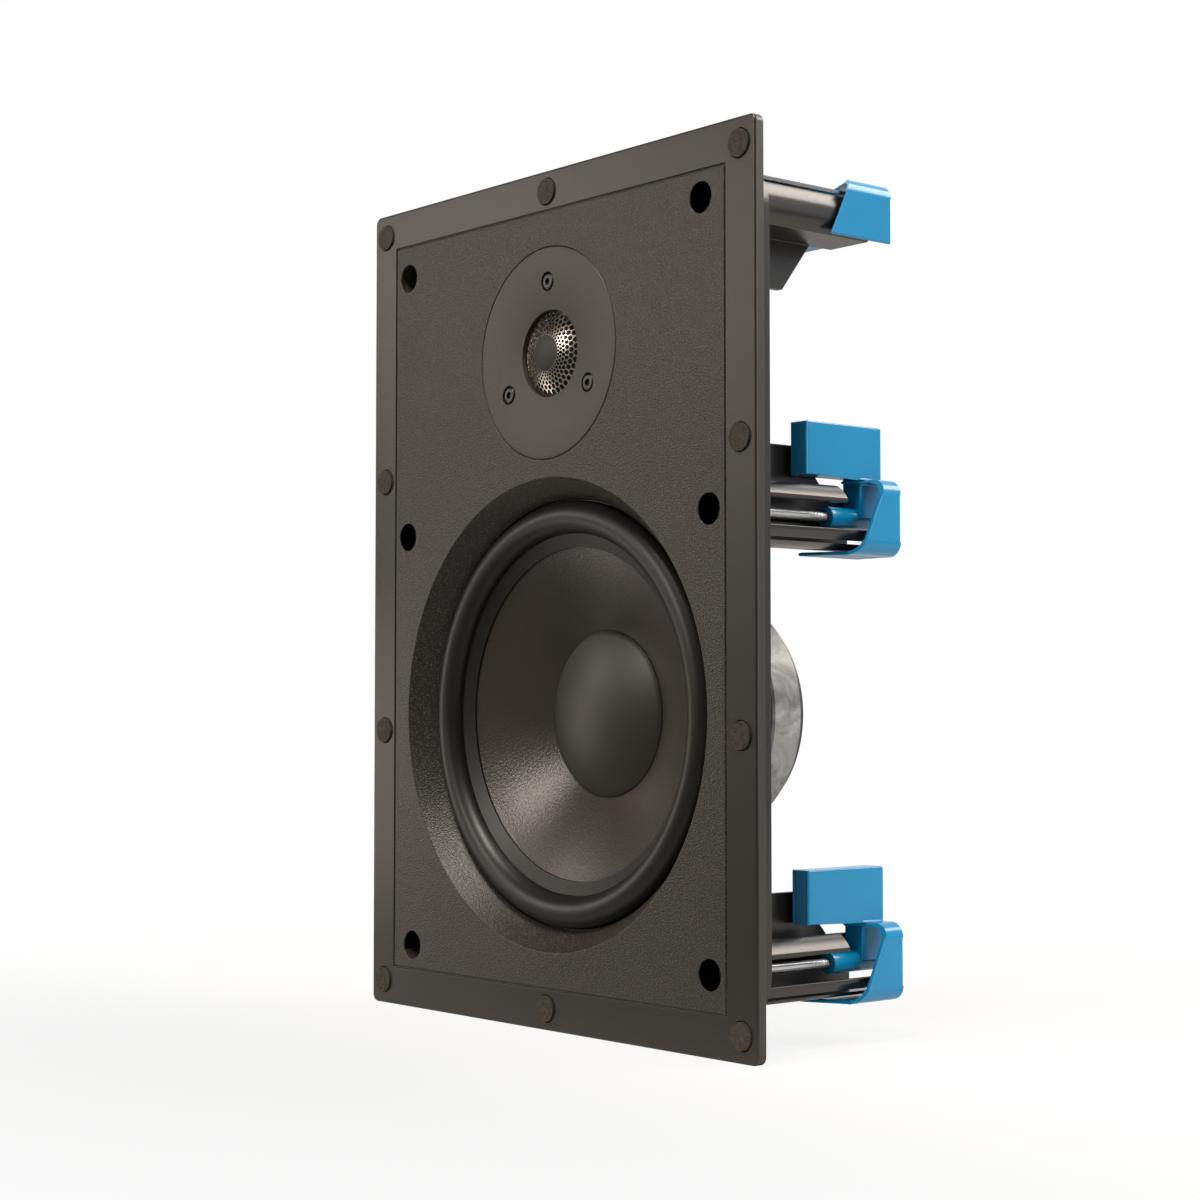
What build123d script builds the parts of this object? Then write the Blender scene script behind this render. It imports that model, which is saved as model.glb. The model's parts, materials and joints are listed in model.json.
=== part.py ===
from build123d import *
import os
from math import sqrt

# In-wall loudspeaker for a rectangular cut-out: a moulded frame that is flange and baffle in one,
# a woofer behind it, a dome tweeter let into it, and six dogs that swing out behind the wall board.
# All lengths are in millimetres. X runs to the right as the listener sees the front, Z runs up and
# Y runs into the wall. The origin is the centre of the flange's back plane, which meets the wall.

os.makedirs("parts", exist_ok=True)

# Frame
frame_width = 225.0
frame_height = 320.0
flange_thickness = 4.0
flange_corner_radius = 3.0
flange_edge_round = 1.0
collar_inset_x = 9.5
collar_inset_z = 10.5
collar_depth = 12.0
collar_wall = 2.5
collar_corner_radius = 18.0
groove_inset = 15.2
groove_width = 0.8
groove_depth = 0.6
rib_height = 7.5
rib_thickness = 2.0
side_rib_inset = 41.0
cross_rib_z = 50.0
rib_overlap = 1.0

# Seats of the grille, stuck on the flange
pad_diameter = 10.0
pad_thickness = 1.2
pad_recess_depth = 0.4
pad_fit = 0.1
pad_inset = 8.0
corner_pad_inset_z = 9.3
side_pad_z = 50.4

# Clamps: one screw, one tower and one dog at each of six places
screw_inset = 14.1
corner_screw_inset_x = 18.0
corner_screw_z = 131.8
middle_screw_z = 27.1
thickest_wall = 39.4
thinnest_wall = 11.4
moving_gap = 0.3

tower_inner_side = 7.6
tower_outer_side = 10.4
tower_half_height = 12.0
tower_radius = 12.1
tower_wall = 2.2
tower_length = 70.0
tower_foot = 10.0
finger_length = 54.0
gusset_reach = 25.5
gusset_straight = 44.0
gusset_end = 58.0
gusset_thickness = 3.0
gusset_offset = 8.4

access_hole_radius = 5.5
access_hole_end = 3.2
head_pocket_radius = 4.05
screw_seat_depth = 6.0
screw_shank_radius = 1.95
screw_head_radius = 3.9
screw_head_height = 2.6
screw_tip = 79.5
screw_running_gap = 0.08
cross_slot_width = 0.9
cross_slot_length = 4.4
cross_slot_depth = 1.5

dog_width = 9.0
dog_reach = 33.5
dog_rear = 77.6
dog_arm_thickness = 11.2
dog_hub_radius = 3.85
dog_hub_front = 53.0
dog_teeth = 5
dog_tooth_depth = 0.8
skirt_gap = 0.4
skirt_wall = 1.4
skirt_corner_radius = 5.5
skirt_end_at_arm = -2.0
skirt_end_far_side = -8.0
skirt_front_at_axis = 64.1
skirt_slope_along_arm = 0.49
skirt_slope_across_arm = 0.5

# Woofer
woofer_z = -43.5
flare_front_radius = 88.0
flare_rear_radius = 80.5
flare_depth = 10.0
woofer_seat_depth = 7.0
woofer_seat_radius = 90.5
gasket_thickness = 1.0
gasket_outer_radius = 88.6
basket_radius = 89.0
basket_flange_thickness = 2.8
basket_wall = 2.2
basket_throat_radius = 77.8
basket_rear_step = 5.0
basket_corner_wall = 3.3
basket_bore_margin = 1.0
window_outer_margin = 1.5
window_inner_margin = 5.0
basket_spokes = 6
basket_spoke_width = 13.0
surround_outer_radius = 80.0
surround_inner_radius = 67.6
surround_lip_radius = 83.5
surround_thickness = 0.8
surround_rise = 6.2
lip_gap = 0.1
cone_lip_radius = 62.6
cone_lip_drop = 2.3
cone_thickness = 0.9
cone_neck_y = 33.0
dust_cap_radius = 31.5
dust_cap_apex_y = 19.5
dust_cap_seat_y = 25.8
cap_thickness = 0.7
coil_former_radius = 19.2
coil_former_wall = 0.6
coil_winding_thickness = 0.8
coil_winding_length = 16.0
coil_rear_y = 74.0
magnet_gap = 0.6
spider_y = 46.0
spider_seat_radius = 50.0
spider_roll_outer = 42.0
spider_rolls = 5
spider_thickness = 0.5
spider_ledge_thickness = 2.3
spider_collar = 2.0
ledge_margin = 1.0
motor_front_y = 64.5
motor_plate_radius = 42.0
top_plate_thickness = 5.0
magnet_radius = 45.5
magnet_bore_radius = 25.0
magnet_thickness = 15.0
magnet_bevel = 0.8
yoke_plate_thickness = 5.5
yoke_bevel = 1.5
vent_radius = 6.0
woofer_screws = 6
woofer_bolt_radius = 85.5
woofer_screw_radius = 1.45
woofer_screw_length = 8.0
woofer_screw_head_radius = 3.2
woofer_screw_head_height = 2.2
woofer_slot_length = 3.5
pilot_gap = 0.05
pilot_extra = 0.4

# Tweeter
tweeter_z = 91.2
faceplate_radius = 39.8
faceplate_gap = 0.15
faceplate_thickness = 3.0
faceplate_edge_bevel = 0.4
dish_radius = 23.0
dish_depth = 2.8
dish_floor_thickness = 1.2
mesh_radius = 16.2
mesh_rise = 4.6
mesh_thickness = 0.5
mesh_sink = 0.6
mesh_fit = 0.05
mesh_first_ring = 8.0
mesh_last_ring = 14.3
mesh_rings = 4
mesh_holes_in_ring = 24
mesh_hole_share = 0.09
tweeter_boss_radius = 22.8
tweeter_body_hole = 23.5
tweeter_seat_radius = 44.0
tweeter_seat_thickness = 3.0
tweeter_dome_radius = 12.9
tweeter_dome_rise = 5.0
tweeter_dome_thickness = 0.4
suspension_outer_radius = 16.6
suspension_flange_radius = 19.5
suspension_thickness = 0.4
tweeter_motor_y = 3.0
tweeter_gap = 0.45
tweeter_coil_wall = 0.3
tweeter_coil_length = 5.5
tweeter_plate_radius = 21.0
tweeter_top_plate_thickness = 3.0
tweeter_magnet_radius = 22.0
tweeter_magnet_bore = 15.0
tweeter_magnet_thickness = 8.0
tweeter_yoke_thickness = 4.0
tweeter_yoke_bevel = 1.0
tweeter_bolt_radius = 27.0
tweeter_screw_radius = 1.4
tweeter_screw_length = 8.0
tweeter_screw_head_radius = 3.1
tweeter_screw_head_height = 1.5
hex_socket_radius = 1.5
hex_socket_depth = 1.0
tweeter_recess_radius = 3.75
tweeter_recess_depth = 1.9
tweeter_post_radius = 4.2
tweeter_post_height = 7.0
post_floor = 1.0

# Crossover
board_width = 44.0
board_height = 64.0
board_inset_x = 46.0
board_z = 87.0
board_thickness = 1.6
board_corner_inset = 4.0
board_corner_radius = 2.0
standoff_height = 10.0
standoff_radius = 3.5
board_screw_radius = 1.15
board_screw_head_radius = 2.6
board_screw_head_height = 1.6
board_screw_length = 7.0
inductor_radius = 13.0
inductor_bore_radius = 6.0
inductor_height = 12.0
inductor_edge_round = 2.0
inductor_shift_x = -5.0
inductor_shift_z = 13.0
capacitor_radius = 6.0
capacitor_length = 26.0
capacitor_edge_round = 1.0
capacitor_edge_gap = 1.0
capacitor_shift_z = 3.0
resistor_side = 8.0
resistor_length = 24.0
resistor_bevel = 0.6
resistor_shift_x = -6.0
resistor_shift_z = -8.0
terminal_width = 28.0
terminal_height = 14.0
terminal_depth = 13.0
terminal_edge_gap = 2.0
lever_drop = 1.5
wire_hole_shift = -1.5
lever_width = 9.0
lever_length = 10.0
lever_thickness = 3.0
lever_spacing = 13.0
wire_hole_radius = 1.8
wire_hole_length = 9.0
tag_strip_width = 16.0
tag_strip_height = 9.0
tag_strip_thickness = 1.6
tag_width = 2.8
tag_length = 6.0

# Places that follow from the sizes above
front_y = -flange_thickness
collar_width = frame_width - 2 * collar_inset_x
collar_height = frame_height - 2 * collar_inset_z
side_rib_x = collar_width / 2 - side_rib_inset
side_screw_x = collar_width / 2 - screw_inset
top_screw_z = collar_height / 2 - screw_inset
corner_screw_x = collar_width / 2 - corner_screw_inset_x
board_x = board_inset_x - collar_width / 2
dog_travel = thickest_wall - thinnest_wall
dog_inner_reach = screw_inset + moving_gap
arm_slot = dog_width / 2 + moving_gap
skirt_inner = tower_radius + skirt_gap
skirt_outer = skirt_inner + skirt_wall
motor_gap_radius = coil_former_radius + coil_winding_thickness + magnet_gap
pole_radius = coil_former_radius - coil_former_wall - magnet_gap
magnet_front_y = motor_front_y + top_plate_thickness
yoke_front_y = magnet_front_y + magnet_thickness
cone_rim_y = woofer_seat_depth + gasket_thickness + surround_thickness
cone_lip_y = cone_rim_y + cone_lip_drop
plate_rear_y = front_y + faceplate_thickness
tweeter_magnet_y = tweeter_motor_y + tweeter_top_plate_thickness
tweeter_yoke_y = tweeter_magnet_y + tweeter_magnet_thickness
tweeter_pole_radius = tweeter_dome_radius - tweeter_coil_wall - tweeter_gap
board_y = standoff_height
board_top_y = board_y + board_thickness

# Each clamp: name, screw axis, and the direction in which its dog swings out
clamps = {
    "top_right": (corner_screw_x, top_screw_z, (0, 0, 1)),
    "middle_right": (side_screw_x, middle_screw_z, (1, 0, 0)),
    "bottom_right": (side_screw_x, -corner_screw_z, (1, 0, 0)),
    "bottom_left": (-corner_screw_x, -top_screw_z, (0, 0, -1)),
    "middle_left": (-side_screw_x, middle_screw_z, (-1, 0, 0)),
    "top_left": (-side_screw_x, corner_screw_z, (-1, 0, 0)),
}

pad_x = frame_width / 2 - pad_inset
pad_z = frame_height / 2 - pad_inset
corner_pad_z = frame_height / 2 - corner_pad_inset_z
pad_places = [
    (-pad_x, corner_pad_z), (0, pad_z), (pad_x, corner_pad_z), (pad_x, side_pad_z),
    (pad_x, -side_pad_z), (pad_x, -corner_pad_z), (0, -pad_z), (-pad_x, -corner_pad_z),
    (-pad_x, -side_pad_z), (-pad_x, side_pad_z),
]

woofer_axis = Axis((0, 0, woofer_z), (0, 1, 0))
tweeter_axis = Axis((0, 0, tweeter_z), (0, 1, 0))


def facing(y, x=0.0, z=0.0):
    """Plane seen from the front at depth y: a negative extrusion goes into the wall."""
    return Plane(origin=(x, y, z), x_dir=(1, 0, 0), z_dir=(0, -1, 0))


def clamp_plane(site, y):
    """Plane across a clamp's axis: local x is where the dog swings out, local y where it is stowed."""
    x, z, outward = clamps[site]
    return Plane(origin=(x, y, z), x_dir=outward, z_dir=(0, -1, 0))


def clamp_side_plane(site, u):
    """Plane along a clamp's axis: local x is the stowed direction, local y points to the front."""
    across = clamp_plane(site, 0)
    return Plane(origin=across.origin + across.x_dir * u, x_dir=across.y_dir, z_dir=across.x_dir)


def clamp_top_plane(site, v):
    """Plane along a clamp's axis: local x is the swung direction, local y points into the wall."""
    across = clamp_plane(site, 0)
    return Plane(origin=across.origin + across.y_dir * v, x_dir=across.x_dir, z_dir=across.y_dir)


def radius_depth_plane(z):
    """Plane for profiles turned about a driver's axis: local x is the radius, local y the depth."""
    return Plane.XY.offset(z)


def turn(points, z, mode=Mode.ADD):
    """Turn a closed outline of (radius, depth) points about the axis at height z."""
    with BuildSketch(radius_depth_plane(z)) as outline:
        with BuildLine():
            Polyline(*points, close=True)
        make_face()
    revolve(outline.sketch, axis=Axis((0, 0, z), (0, 1, 0)), mode=mode)


def save(piece, name):
    """Label a finished piece and write its file."""
    piece.part.label = name
    export_step(piece.part, f"parts/{name}.step")


def tower_outline():
    """Outer section of a clamp tower."""
    width = tower_inner_side + tower_outer_side
    with Locations(((tower_outer_side - tower_inner_side) / 2, 0)):
        Rectangle(width, 2 * tower_half_height)
    Circle(tower_radius, mode=Mode.INTERSECT)


def add_tower(site):
    """Foot, slotted shell, guide finger and two gussets of one clamp tower."""
    with BuildSketch(clamp_plane(site, 0)) as foot:
        tower_outline()
    extrude(foot.sketch, amount=-tower_foot)

    far = 2 * tower_radius
    with BuildSketch(clamp_plane(site, 0)) as shell:
        tower_outline()
        inner_width = tower_inner_side + tower_outer_side - 2 * tower_wall
        with Locations(((tower_outer_side - tower_inner_side) / 2, 0)):
            Rectangle(inner_width, 2 * (tower_half_height - tower_wall), mode=Mode.SUBTRACT)
        with Locations((arm_slot - far, 0)):
            Rectangle(far, far, align=(Align.MIN, Align.MIN), mode=Mode.SUBTRACT)
        with Locations((tower_wall - tower_inner_side, -arm_slot)):
            Rectangle(far, far, align=(Align.MIN, Align.MIN), mode=Mode.SUBTRACT)
        with Locations(((-tower_inner_side, 0))):
            inner_height = sqrt(tower_radius**2 - tower_inner_side**2)
            Rectangle(tower_wall, inner_height, align=(Align.MIN, Align.MIN))
    extrude(shell.sketch, amount=-tower_length)

    with BuildSketch(clamp_plane(site, 0)) as finger:
        tower_outline()
        with Locations((arm_slot, arm_slot)):
            Rectangle(far, far, align=(Align.MIN, Align.MIN), mode=Mode.INTERSECT)
    extrude(finger.sketch, amount=-finger_length)

    with BuildSketch(clamp_side_plane(site, -tower_inner_side)) as stowed_gusset:
        with BuildLine():
            Polyline((tower_wall, 0), (gusset_reach, 0), (gusset_reach, -gusset_straight),
                     (tower_half_height - tower_wall, -gusset_end), (tower_wall, -gusset_end),
                     close=True)
        make_face()
    extrude(stowed_gusset.sketch, amount=tower_wall)

    with BuildSketch(clamp_top_plane(site, gusset_offset)) as side_gusset:
        with BuildLine():
            Polyline((-tower_inner_side + 1, 0), (-gusset_reach, 0), (-gusset_reach, gusset_straight),
                     (-tower_inner_side, gusset_end), (-tower_inner_side + 1, gusset_end), close=True)
        make_face()
    extrude(side_gusset.sketch, amount=gusset_thickness)


# Frame: flange, baffle, collar, driver seats and the six clamp towers in one moulding
with BuildPart() as frame:
    with BuildSketch(facing(front_y)):
        RectangleRounded(frame_width, frame_height, flange_corner_radius)
    extrude(amount=-flange_thickness)
    fillet(frame.faces().sort_by(Axis.Y)[0].edges(), radius=flange_edge_round)

    with BuildSketch(facing(0)):
        RectangleRounded(collar_width, collar_height, collar_corner_radius)
        RectangleRounded(collar_width - 2 * collar_wall, collar_height - 2 * collar_wall,
                         collar_corner_radius - collar_wall, mode=Mode.SUBTRACT)
    extrude(amount=-collar_depth)

    # Stiffening ribs on the back of the baffle
    with BuildSketch(facing(0)):
        with Locations((0, cross_rib_z)):
            Rectangle(collar_width - collar_wall, rib_thickness)
        with Locations((-side_rib_x, 0), (side_rib_x, 0)):
            Rectangle(rib_thickness, collar_height - collar_wall)
        with Locations((0, woofer_z)):
            Circle(woofer_seat_radius - rib_overlap, mode=Mode.SUBTRACT)
    extrude(amount=-rib_height)

    with BuildSketch(facing(0, z=woofer_z)):
        Circle(woofer_seat_radius)
    extrude(amount=-woofer_seat_depth)
    with BuildSketch(facing(0, z=tweeter_z)):
        Circle(tweeter_seat_radius)
    extrude(amount=-tweeter_seat_thickness)
    with BuildSketch(facing(0, z=tweeter_z)):
        with PolarLocations(tweeter_bolt_radius, 3, start_angle=90):
            Circle(tweeter_post_radius)
    extrude(amount=-tweeter_post_height)

    standoff_x = board_width / 2 - board_corner_inset
    standoff_z = board_height / 2 - board_corner_inset
    with BuildSketch(facing(0, board_x, board_z)):
        with GridLocations(2 * standoff_x, 2 * standoff_z, 2, 2):
            Circle(standoff_radius)
    extrude(amount=-standoff_height)

    for site in clamps:
        add_tower(site)

    # Keep the gussets clear of the woofer's seat
    with BuildSketch(facing(woofer_seat_depth, z=woofer_z)):
        Circle(woofer_seat_radius)
    extrude(amount=woofer_seat_depth - gusset_end, mode=Mode.SUBTRACT)

    # Flare in front of the woofer, with its throat and the pilot holes of its screws
    turn([(0, front_y), (flare_front_radius, front_y), (flare_rear_radius, front_y + flare_depth),
          (flare_rear_radius, woofer_seat_depth), (0, woofer_seat_depth)], woofer_z, Mode.SUBTRACT)
    with BuildSketch(facing(woofer_seat_depth, z=woofer_z)):
        with PolarLocations(woofer_bolt_radius, woofer_screws):
            Circle(woofer_screw_radius + pilot_gap)
    extrude(amount=woofer_screw_length - basket_flange_thickness - gasket_thickness + pilot_extra,
            mode=Mode.SUBTRACT)

    # Recess of the tweeter's faceplate, the hole behind it and the pilot holes
    turn([(0, front_y), (faceplate_radius + faceplate_gap, front_y),
          (faceplate_radius + faceplate_gap, plate_rear_y), (tweeter_body_hole, plate_rear_y),
          (tweeter_body_hole, tweeter_post_height), (0, tweeter_post_height)],
         tweeter_z, Mode.SUBTRACT)
    with BuildSketch(facing(plate_rear_y, z=tweeter_z)):
        with PolarLocations(tweeter_bolt_radius, 3, start_angle=90):
            Circle(tweeter_screw_radius + pilot_gap)
    extrude(amount=plate_rear_y + post_floor - tweeter_post_height, mode=Mode.SUBTRACT)

    with BuildSketch(facing(standoff_height, board_x, board_z)):
        with GridLocations(2 * standoff_x, 2 * standoff_z, 2, 2):
            Circle(board_screw_radius + pilot_gap)
    extrude(amount=board_screw_length - board_thickness + pilot_extra, mode=Mode.SUBTRACT)

    # Access hole, pocket of the screw's head and shank hole at each clamp
    for site in clamps:
        with BuildSketch(clamp_plane(site, front_y)):
            Circle(access_hole_radius)
        extrude(amount=front_y - access_hole_end, mode=Mode.SUBTRACT)
        with BuildSketch(clamp_plane(site, access_hole_end)):
            Circle(head_pocket_radius)
        extrude(amount=access_hole_end - screw_seat_depth, mode=Mode.SUBTRACT)
        with BuildSketch(clamp_plane(site, screw_seat_depth)):
            Circle(screw_shank_radius + moving_gap)
        extrude(amount=screw_seat_depth - tower_foot, mode=Mode.SUBTRACT)

    # Fine line that frames the baffle, and the shallow seats of the pads
    groove_x = frame_width - 2 * groove_inset
    groove_z = frame_height - 2 * groove_inset
    with BuildSketch(facing(front_y)):
        Rectangle(groove_x + groove_width, groove_z + groove_width)
        Rectangle(groove_x - groove_width, groove_z - groove_width, mode=Mode.SUBTRACT)
    extrude(amount=-groove_depth, mode=Mode.SUBTRACT)
    with BuildSketch(facing(front_y)):
        with Locations(*pad_places):
            Circle(pad_diameter / 2 + pad_fit)
    extrude(amount=-pad_recess_depth, mode=Mode.SUBTRACT)
save(frame, "frame")
print("frame solids", len(frame.solids()), "volume", round(frame.part.volume))

# Grille pads
for number, place in enumerate(pad_places, start=1):
    with BuildPart() as grille_pad:
        with BuildSketch(facing(front_y + pad_recess_depth, *place)):
            Circle(pad_diameter / 2)
        extrude(amount=pad_thickness)
    save(grille_pad, f"grille_pad_{number}")

# Clamp screws: pan head in front, shank through the tower
for site in clamps:
    with BuildPart() as clamp_screw:
        with BuildSketch(clamp_plane(site, screw_seat_depth - screw_head_height)):
            Circle(screw_head_radius)
        extrude(amount=-screw_head_height)
        fillet(clamp_screw.edges().sort_by(Axis.Y)[0], radius=screw_head_height / 3)
        with BuildSketch(clamp_plane(site, screw_seat_depth)):
            Circle(screw_shank_radius)
        extrude(amount=screw_seat_depth - screw_tip)
        chamfer(clamp_screw.edges().sort_by(Axis.Y)[-1], length=screw_shank_radius / 2)
        with BuildSketch(clamp_plane(site, screw_seat_depth - screw_head_height)):
            Rectangle(cross_slot_length, cross_slot_width)
            Rectangle(cross_slot_width, cross_slot_length)
        extrude(amount=-cross_slot_depth, mode=Mode.SUBTRACT)
    save(clamp_screw, f"clamp_screw_{site}")


def dog_block_outline():
    """Plan of the clamping block: a plain body with a toothed front edge."""
    pitch = dog_width / dog_teeth
    teeth = []
    for tooth in range(dog_teeth):
        left = -dog_width / 2 + tooth * pitch
        teeth += [(left, thickest_wall + dog_tooth_depth), (left + pitch / 2, thickest_wall)]
    teeth.append((dog_width / 2, thickest_wall + dog_tooth_depth))
    Polyline((-dog_width / 2, dog_rear), *teeth, (dog_width / 2, dog_rear), close=True)


def skirt_front_plane(site):
    """Plane of the skirt's front edge, which slants both ways; its normal points into the wall."""
    across = clamp_plane(site, skirt_front_at_axis)
    normal = (Vector(0, 1, 0) - across.x_dir * skirt_slope_across_arm
              - across.y_dir * skirt_slope_along_arm)
    return Plane(origin=across.origin + across.x_dir * skirt_outer, z_dir=normal)


# Clamp dogs: skirt around the tower, arm through its slot, toothed block and threaded hub
skirt_foremost = (skirt_front_at_axis - skirt_slope_along_arm * skirt_outer
                  - skirt_slope_across_arm * (skirt_outer - skirt_end_far_side))
for site in clamps:
    with BuildPart() as clamp_dog:
        with BuildSketch(clamp_plane(site, dog_rear)):
            RectangleRounded(2 * skirt_outer, 2 * skirt_outer, skirt_corner_radius)
            RectangleRounded(2 * skirt_inner, 2 * skirt_inner, skirt_corner_radius - skirt_wall,
                             mode=Mode.SUBTRACT)
            with Locations((skirt_end_at_arm, 0)):
                Rectangle(2 * skirt_outer, 2 * skirt_outer, align=(Align.MAX, Align.MIN),
                          mode=Mode.SUBTRACT)
            with Locations((skirt_end_far_side, 0)):
                Rectangle(2 * skirt_outer, 2 * skirt_outer, align=(Align.MAX, Align.MAX),
                          mode=Mode.SUBTRACT)
        extrude(amount=dog_rear - skirt_foremost)
        split(bisect_by=skirt_front_plane(site), keep=Keep.TOP)

        with BuildSketch(clamp_plane(site, dog_rear)):
            Rectangle(dog_width, dog_inner_reach, align=(Align.CENTER, Align.MIN))
        extrude(amount=dog_arm_thickness)
        with BuildSketch(clamp_top_plane(site, dog_inner_reach)):
            with BuildLine():
                dog_block_outline()
            make_face()
        extrude(amount=dog_reach - dog_inner_reach)
        with BuildSketch(clamp_plane(site, dog_rear)):
            Circle(dog_hub_radius)
        extrude(amount=dog_rear - dog_hub_front)
        with BuildSketch(clamp_plane(site, dog_rear)):
            Circle(screw_shank_radius + screw_running_gap)
        extrude(amount=dog_rear - dog_hub_front, mode=Mode.SUBTRACT)
    save(clamp_dog, f"clamp_dog_{site}")
print("clamp dog solids", len(clamp_dog.solids()), "volume", round(clamp_dog.part.volume))


# Foam gasket between the baffle and the woofer's basket
with BuildPart() as woofer_gasket:
    with BuildSketch(facing(woofer_seat_depth, z=woofer_z)):
        Circle(gasket_outer_radius)
        Circle(surround_lip_radius, mode=Mode.SUBTRACT)
        with PolarLocations(woofer_bolt_radius, woofer_screws):
            Circle(woofer_screw_radius + moving_gap, mode=Mode.SUBTRACT)
    extrude(amount=-gasket_thickness)
save(woofer_gasket, "woofer_gasket")

# Basket: rim, windowed cone, spider ledge and rear plate in one pressing
basket_front_y = woofer_seat_depth + gasket_thickness
basket_rim_rear_y = basket_front_y + basket_flange_thickness
ledge_rear_y = spider_y + spider_ledge_thickness
rear_ring_radius = motor_plate_radius + basket_rear_step
with BuildPart() as woofer_basket:
    turn([
        (basket_radius, basket_front_y),
        (basket_radius, basket_rim_rear_y),
        (basket_throat_radius + basket_wall, basket_rim_rear_y),
        (spider_seat_radius + ledge_margin + basket_wall, ledge_rear_y),
        (rear_ring_radius, motor_front_y),
        (motor_gap_radius + basket_bore_margin, motor_front_y),
        (motor_gap_radius + basket_bore_margin, motor_front_y - basket_wall),
        (rear_ring_radius - basket_corner_wall, motor_front_y - basket_wall),
        (spider_seat_radius - ledge_margin, ledge_rear_y),
        (spider_roll_outer + moving_gap, ledge_rear_y),
        (spider_roll_outer + moving_gap, spider_y),
        (spider_seat_radius + ledge_margin, spider_y),
        (basket_throat_radius, basket_rim_rear_y),
        (basket_throat_radius, cone_rim_y),
        (surround_lip_radius + lip_gap, cone_rim_y),
        (surround_lip_radius + lip_gap, basket_front_y),
    ], woofer_z)
    with BuildSketch(facing(basket_rim_rear_y, z=woofer_z)):
        Circle(basket_throat_radius - window_outer_margin)
        Circle(spider_seat_radius + window_inner_margin, mode=Mode.SUBTRACT)
        with PolarLocations(0, basket_spokes, start_angle=180 / basket_spokes):
            Rectangle(basket_radius, basket_spoke_width, align=(Align.MIN, Align.CENTER),
                      mode=Mode.SUBTRACT)
    extrude(amount=basket_rim_rear_y - spider_y, mode=Mode.SUBTRACT)
    with BuildSketch(facing(basket_front_y, z=woofer_z)):
        with PolarLocations(woofer_bolt_radius, woofer_screws):
            Circle(woofer_screw_radius + moving_gap)
    extrude(amount=-basket_flange_thickness, mode=Mode.SUBTRACT)
save(woofer_basket, "woofer_basket")

# Rubber half-roll surround, glued to the rim seat outside and to the cone inside
roll_radius = (surround_outer_radius - surround_inner_radius) / 2
roll_centre = surround_inner_radius + roll_radius
lip_front_y = cone_rim_y - surround_thickness
with BuildPart() as surround:
    with BuildSketch(radius_depth_plane(woofer_z)):
        with BuildLine():
            Polyline((surround_outer_radius, lip_front_y), (surround_lip_radius, lip_front_y),
                     (surround_lip_radius, cone_rim_y),
                     (surround_outer_radius - surround_thickness, cone_rim_y))
            ThreePointArc((surround_outer_radius - surround_thickness, cone_rim_y),
                          (roll_centre, cone_rim_y - surround_rise),
                          (surround_inner_radius + surround_thickness, cone_rim_y))
            Polyline((surround_inner_radius + surround_thickness, cone_rim_y),
                     (surround_inner_radius, cone_rim_y), (cone_lip_radius, cone_lip_y),
                     (cone_lip_radius, cone_lip_y - surround_thickness),
                     (surround_inner_radius, lip_front_y))
            ThreePointArc((surround_inner_radius, lip_front_y),
                          (roll_centre, lip_front_y - surround_rise),
                          (surround_outer_radius, lip_front_y))
        make_face()
    revolve(axis=woofer_axis)
save(surround, "surround")


# Polypropylene cone: a straight rim under the surround's lip, then a gentle trumpet to the neck
with BuildPart() as cone:
    with BuildSketch(radius_depth_plane(woofer_z)):
        with BuildLine():
            Polyline((cone_lip_radius, cone_lip_y), (surround_inner_radius, cone_rim_y),
                     (surround_inner_radius, cone_rim_y + cone_thickness),
                     (cone_lip_radius, cone_lip_y + cone_thickness))
            ThreePointArc((cone_lip_radius, cone_lip_y + cone_thickness),
                          (dust_cap_radius, dust_cap_seat_y + cone_thickness),
                          (coil_former_radius, cone_neck_y + cone_thickness))
            Line((coil_former_radius, cone_neck_y + cone_thickness),
                 (coil_former_radius, cone_neck_y))
            ThreePointArc((coil_former_radius, cone_neck_y), (dust_cap_radius, dust_cap_seat_y),
                          (cone_lip_radius, cone_lip_y))
        make_face()
    revolve(axis=woofer_axis)
save(cone, "cone")

# Dust cap: a shallow dome whose rear rim stands on the cone
cap_sag = dust_cap_seat_y - cap_thickness - dust_cap_apex_y
with BuildPart() as dust_cap:
    with BuildSketch(radius_depth_plane(woofer_z)):
        with BuildLine():
            Line((0, dust_cap_apex_y), (0, dust_cap_apex_y + cap_thickness))
            cap_curve = (dust_cap_radius**2 + cap_sag**2) / (2 * cap_sag)
            sag_at_half = cap_curve - sqrt(cap_curve**2 - dust_cap_radius**2 / 4)
            ThreePointArc((0, dust_cap_apex_y + cap_thickness),
                          (dust_cap_radius / 2, dust_cap_apex_y + cap_thickness + sag_at_half),
                          (dust_cap_radius, dust_cap_apex_y + cap_thickness + cap_sag))
            Line((dust_cap_radius, dust_cap_apex_y + cap_thickness + cap_sag),
                 (dust_cap_radius, dust_cap_apex_y + cap_sag))
            ThreePointArc((dust_cap_radius, dust_cap_apex_y + cap_sag),
                          (dust_cap_radius / 2, dust_cap_apex_y + sag_at_half),
                          (0, dust_cap_apex_y))
        make_face()
    revolve(axis=woofer_axis)
save(dust_cap, "dust_cap")

# Voice coil: paper former with its winding at the rear end
with BuildPart() as voice_coil:
    former_inner = coil_former_radius - coil_former_wall
    winding_front_y = coil_rear_y - coil_winding_length
    turn([(former_inner, cone_neck_y), (coil_former_radius, cone_neck_y),
          (coil_former_radius, winding_front_y),
          (coil_former_radius + coil_winding_thickness, winding_front_y),
          (coil_former_radius + coil_winding_thickness, coil_rear_y),
          (former_inner, coil_rear_y)], woofer_z)
save(voice_coil, "voice_coil")

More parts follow.
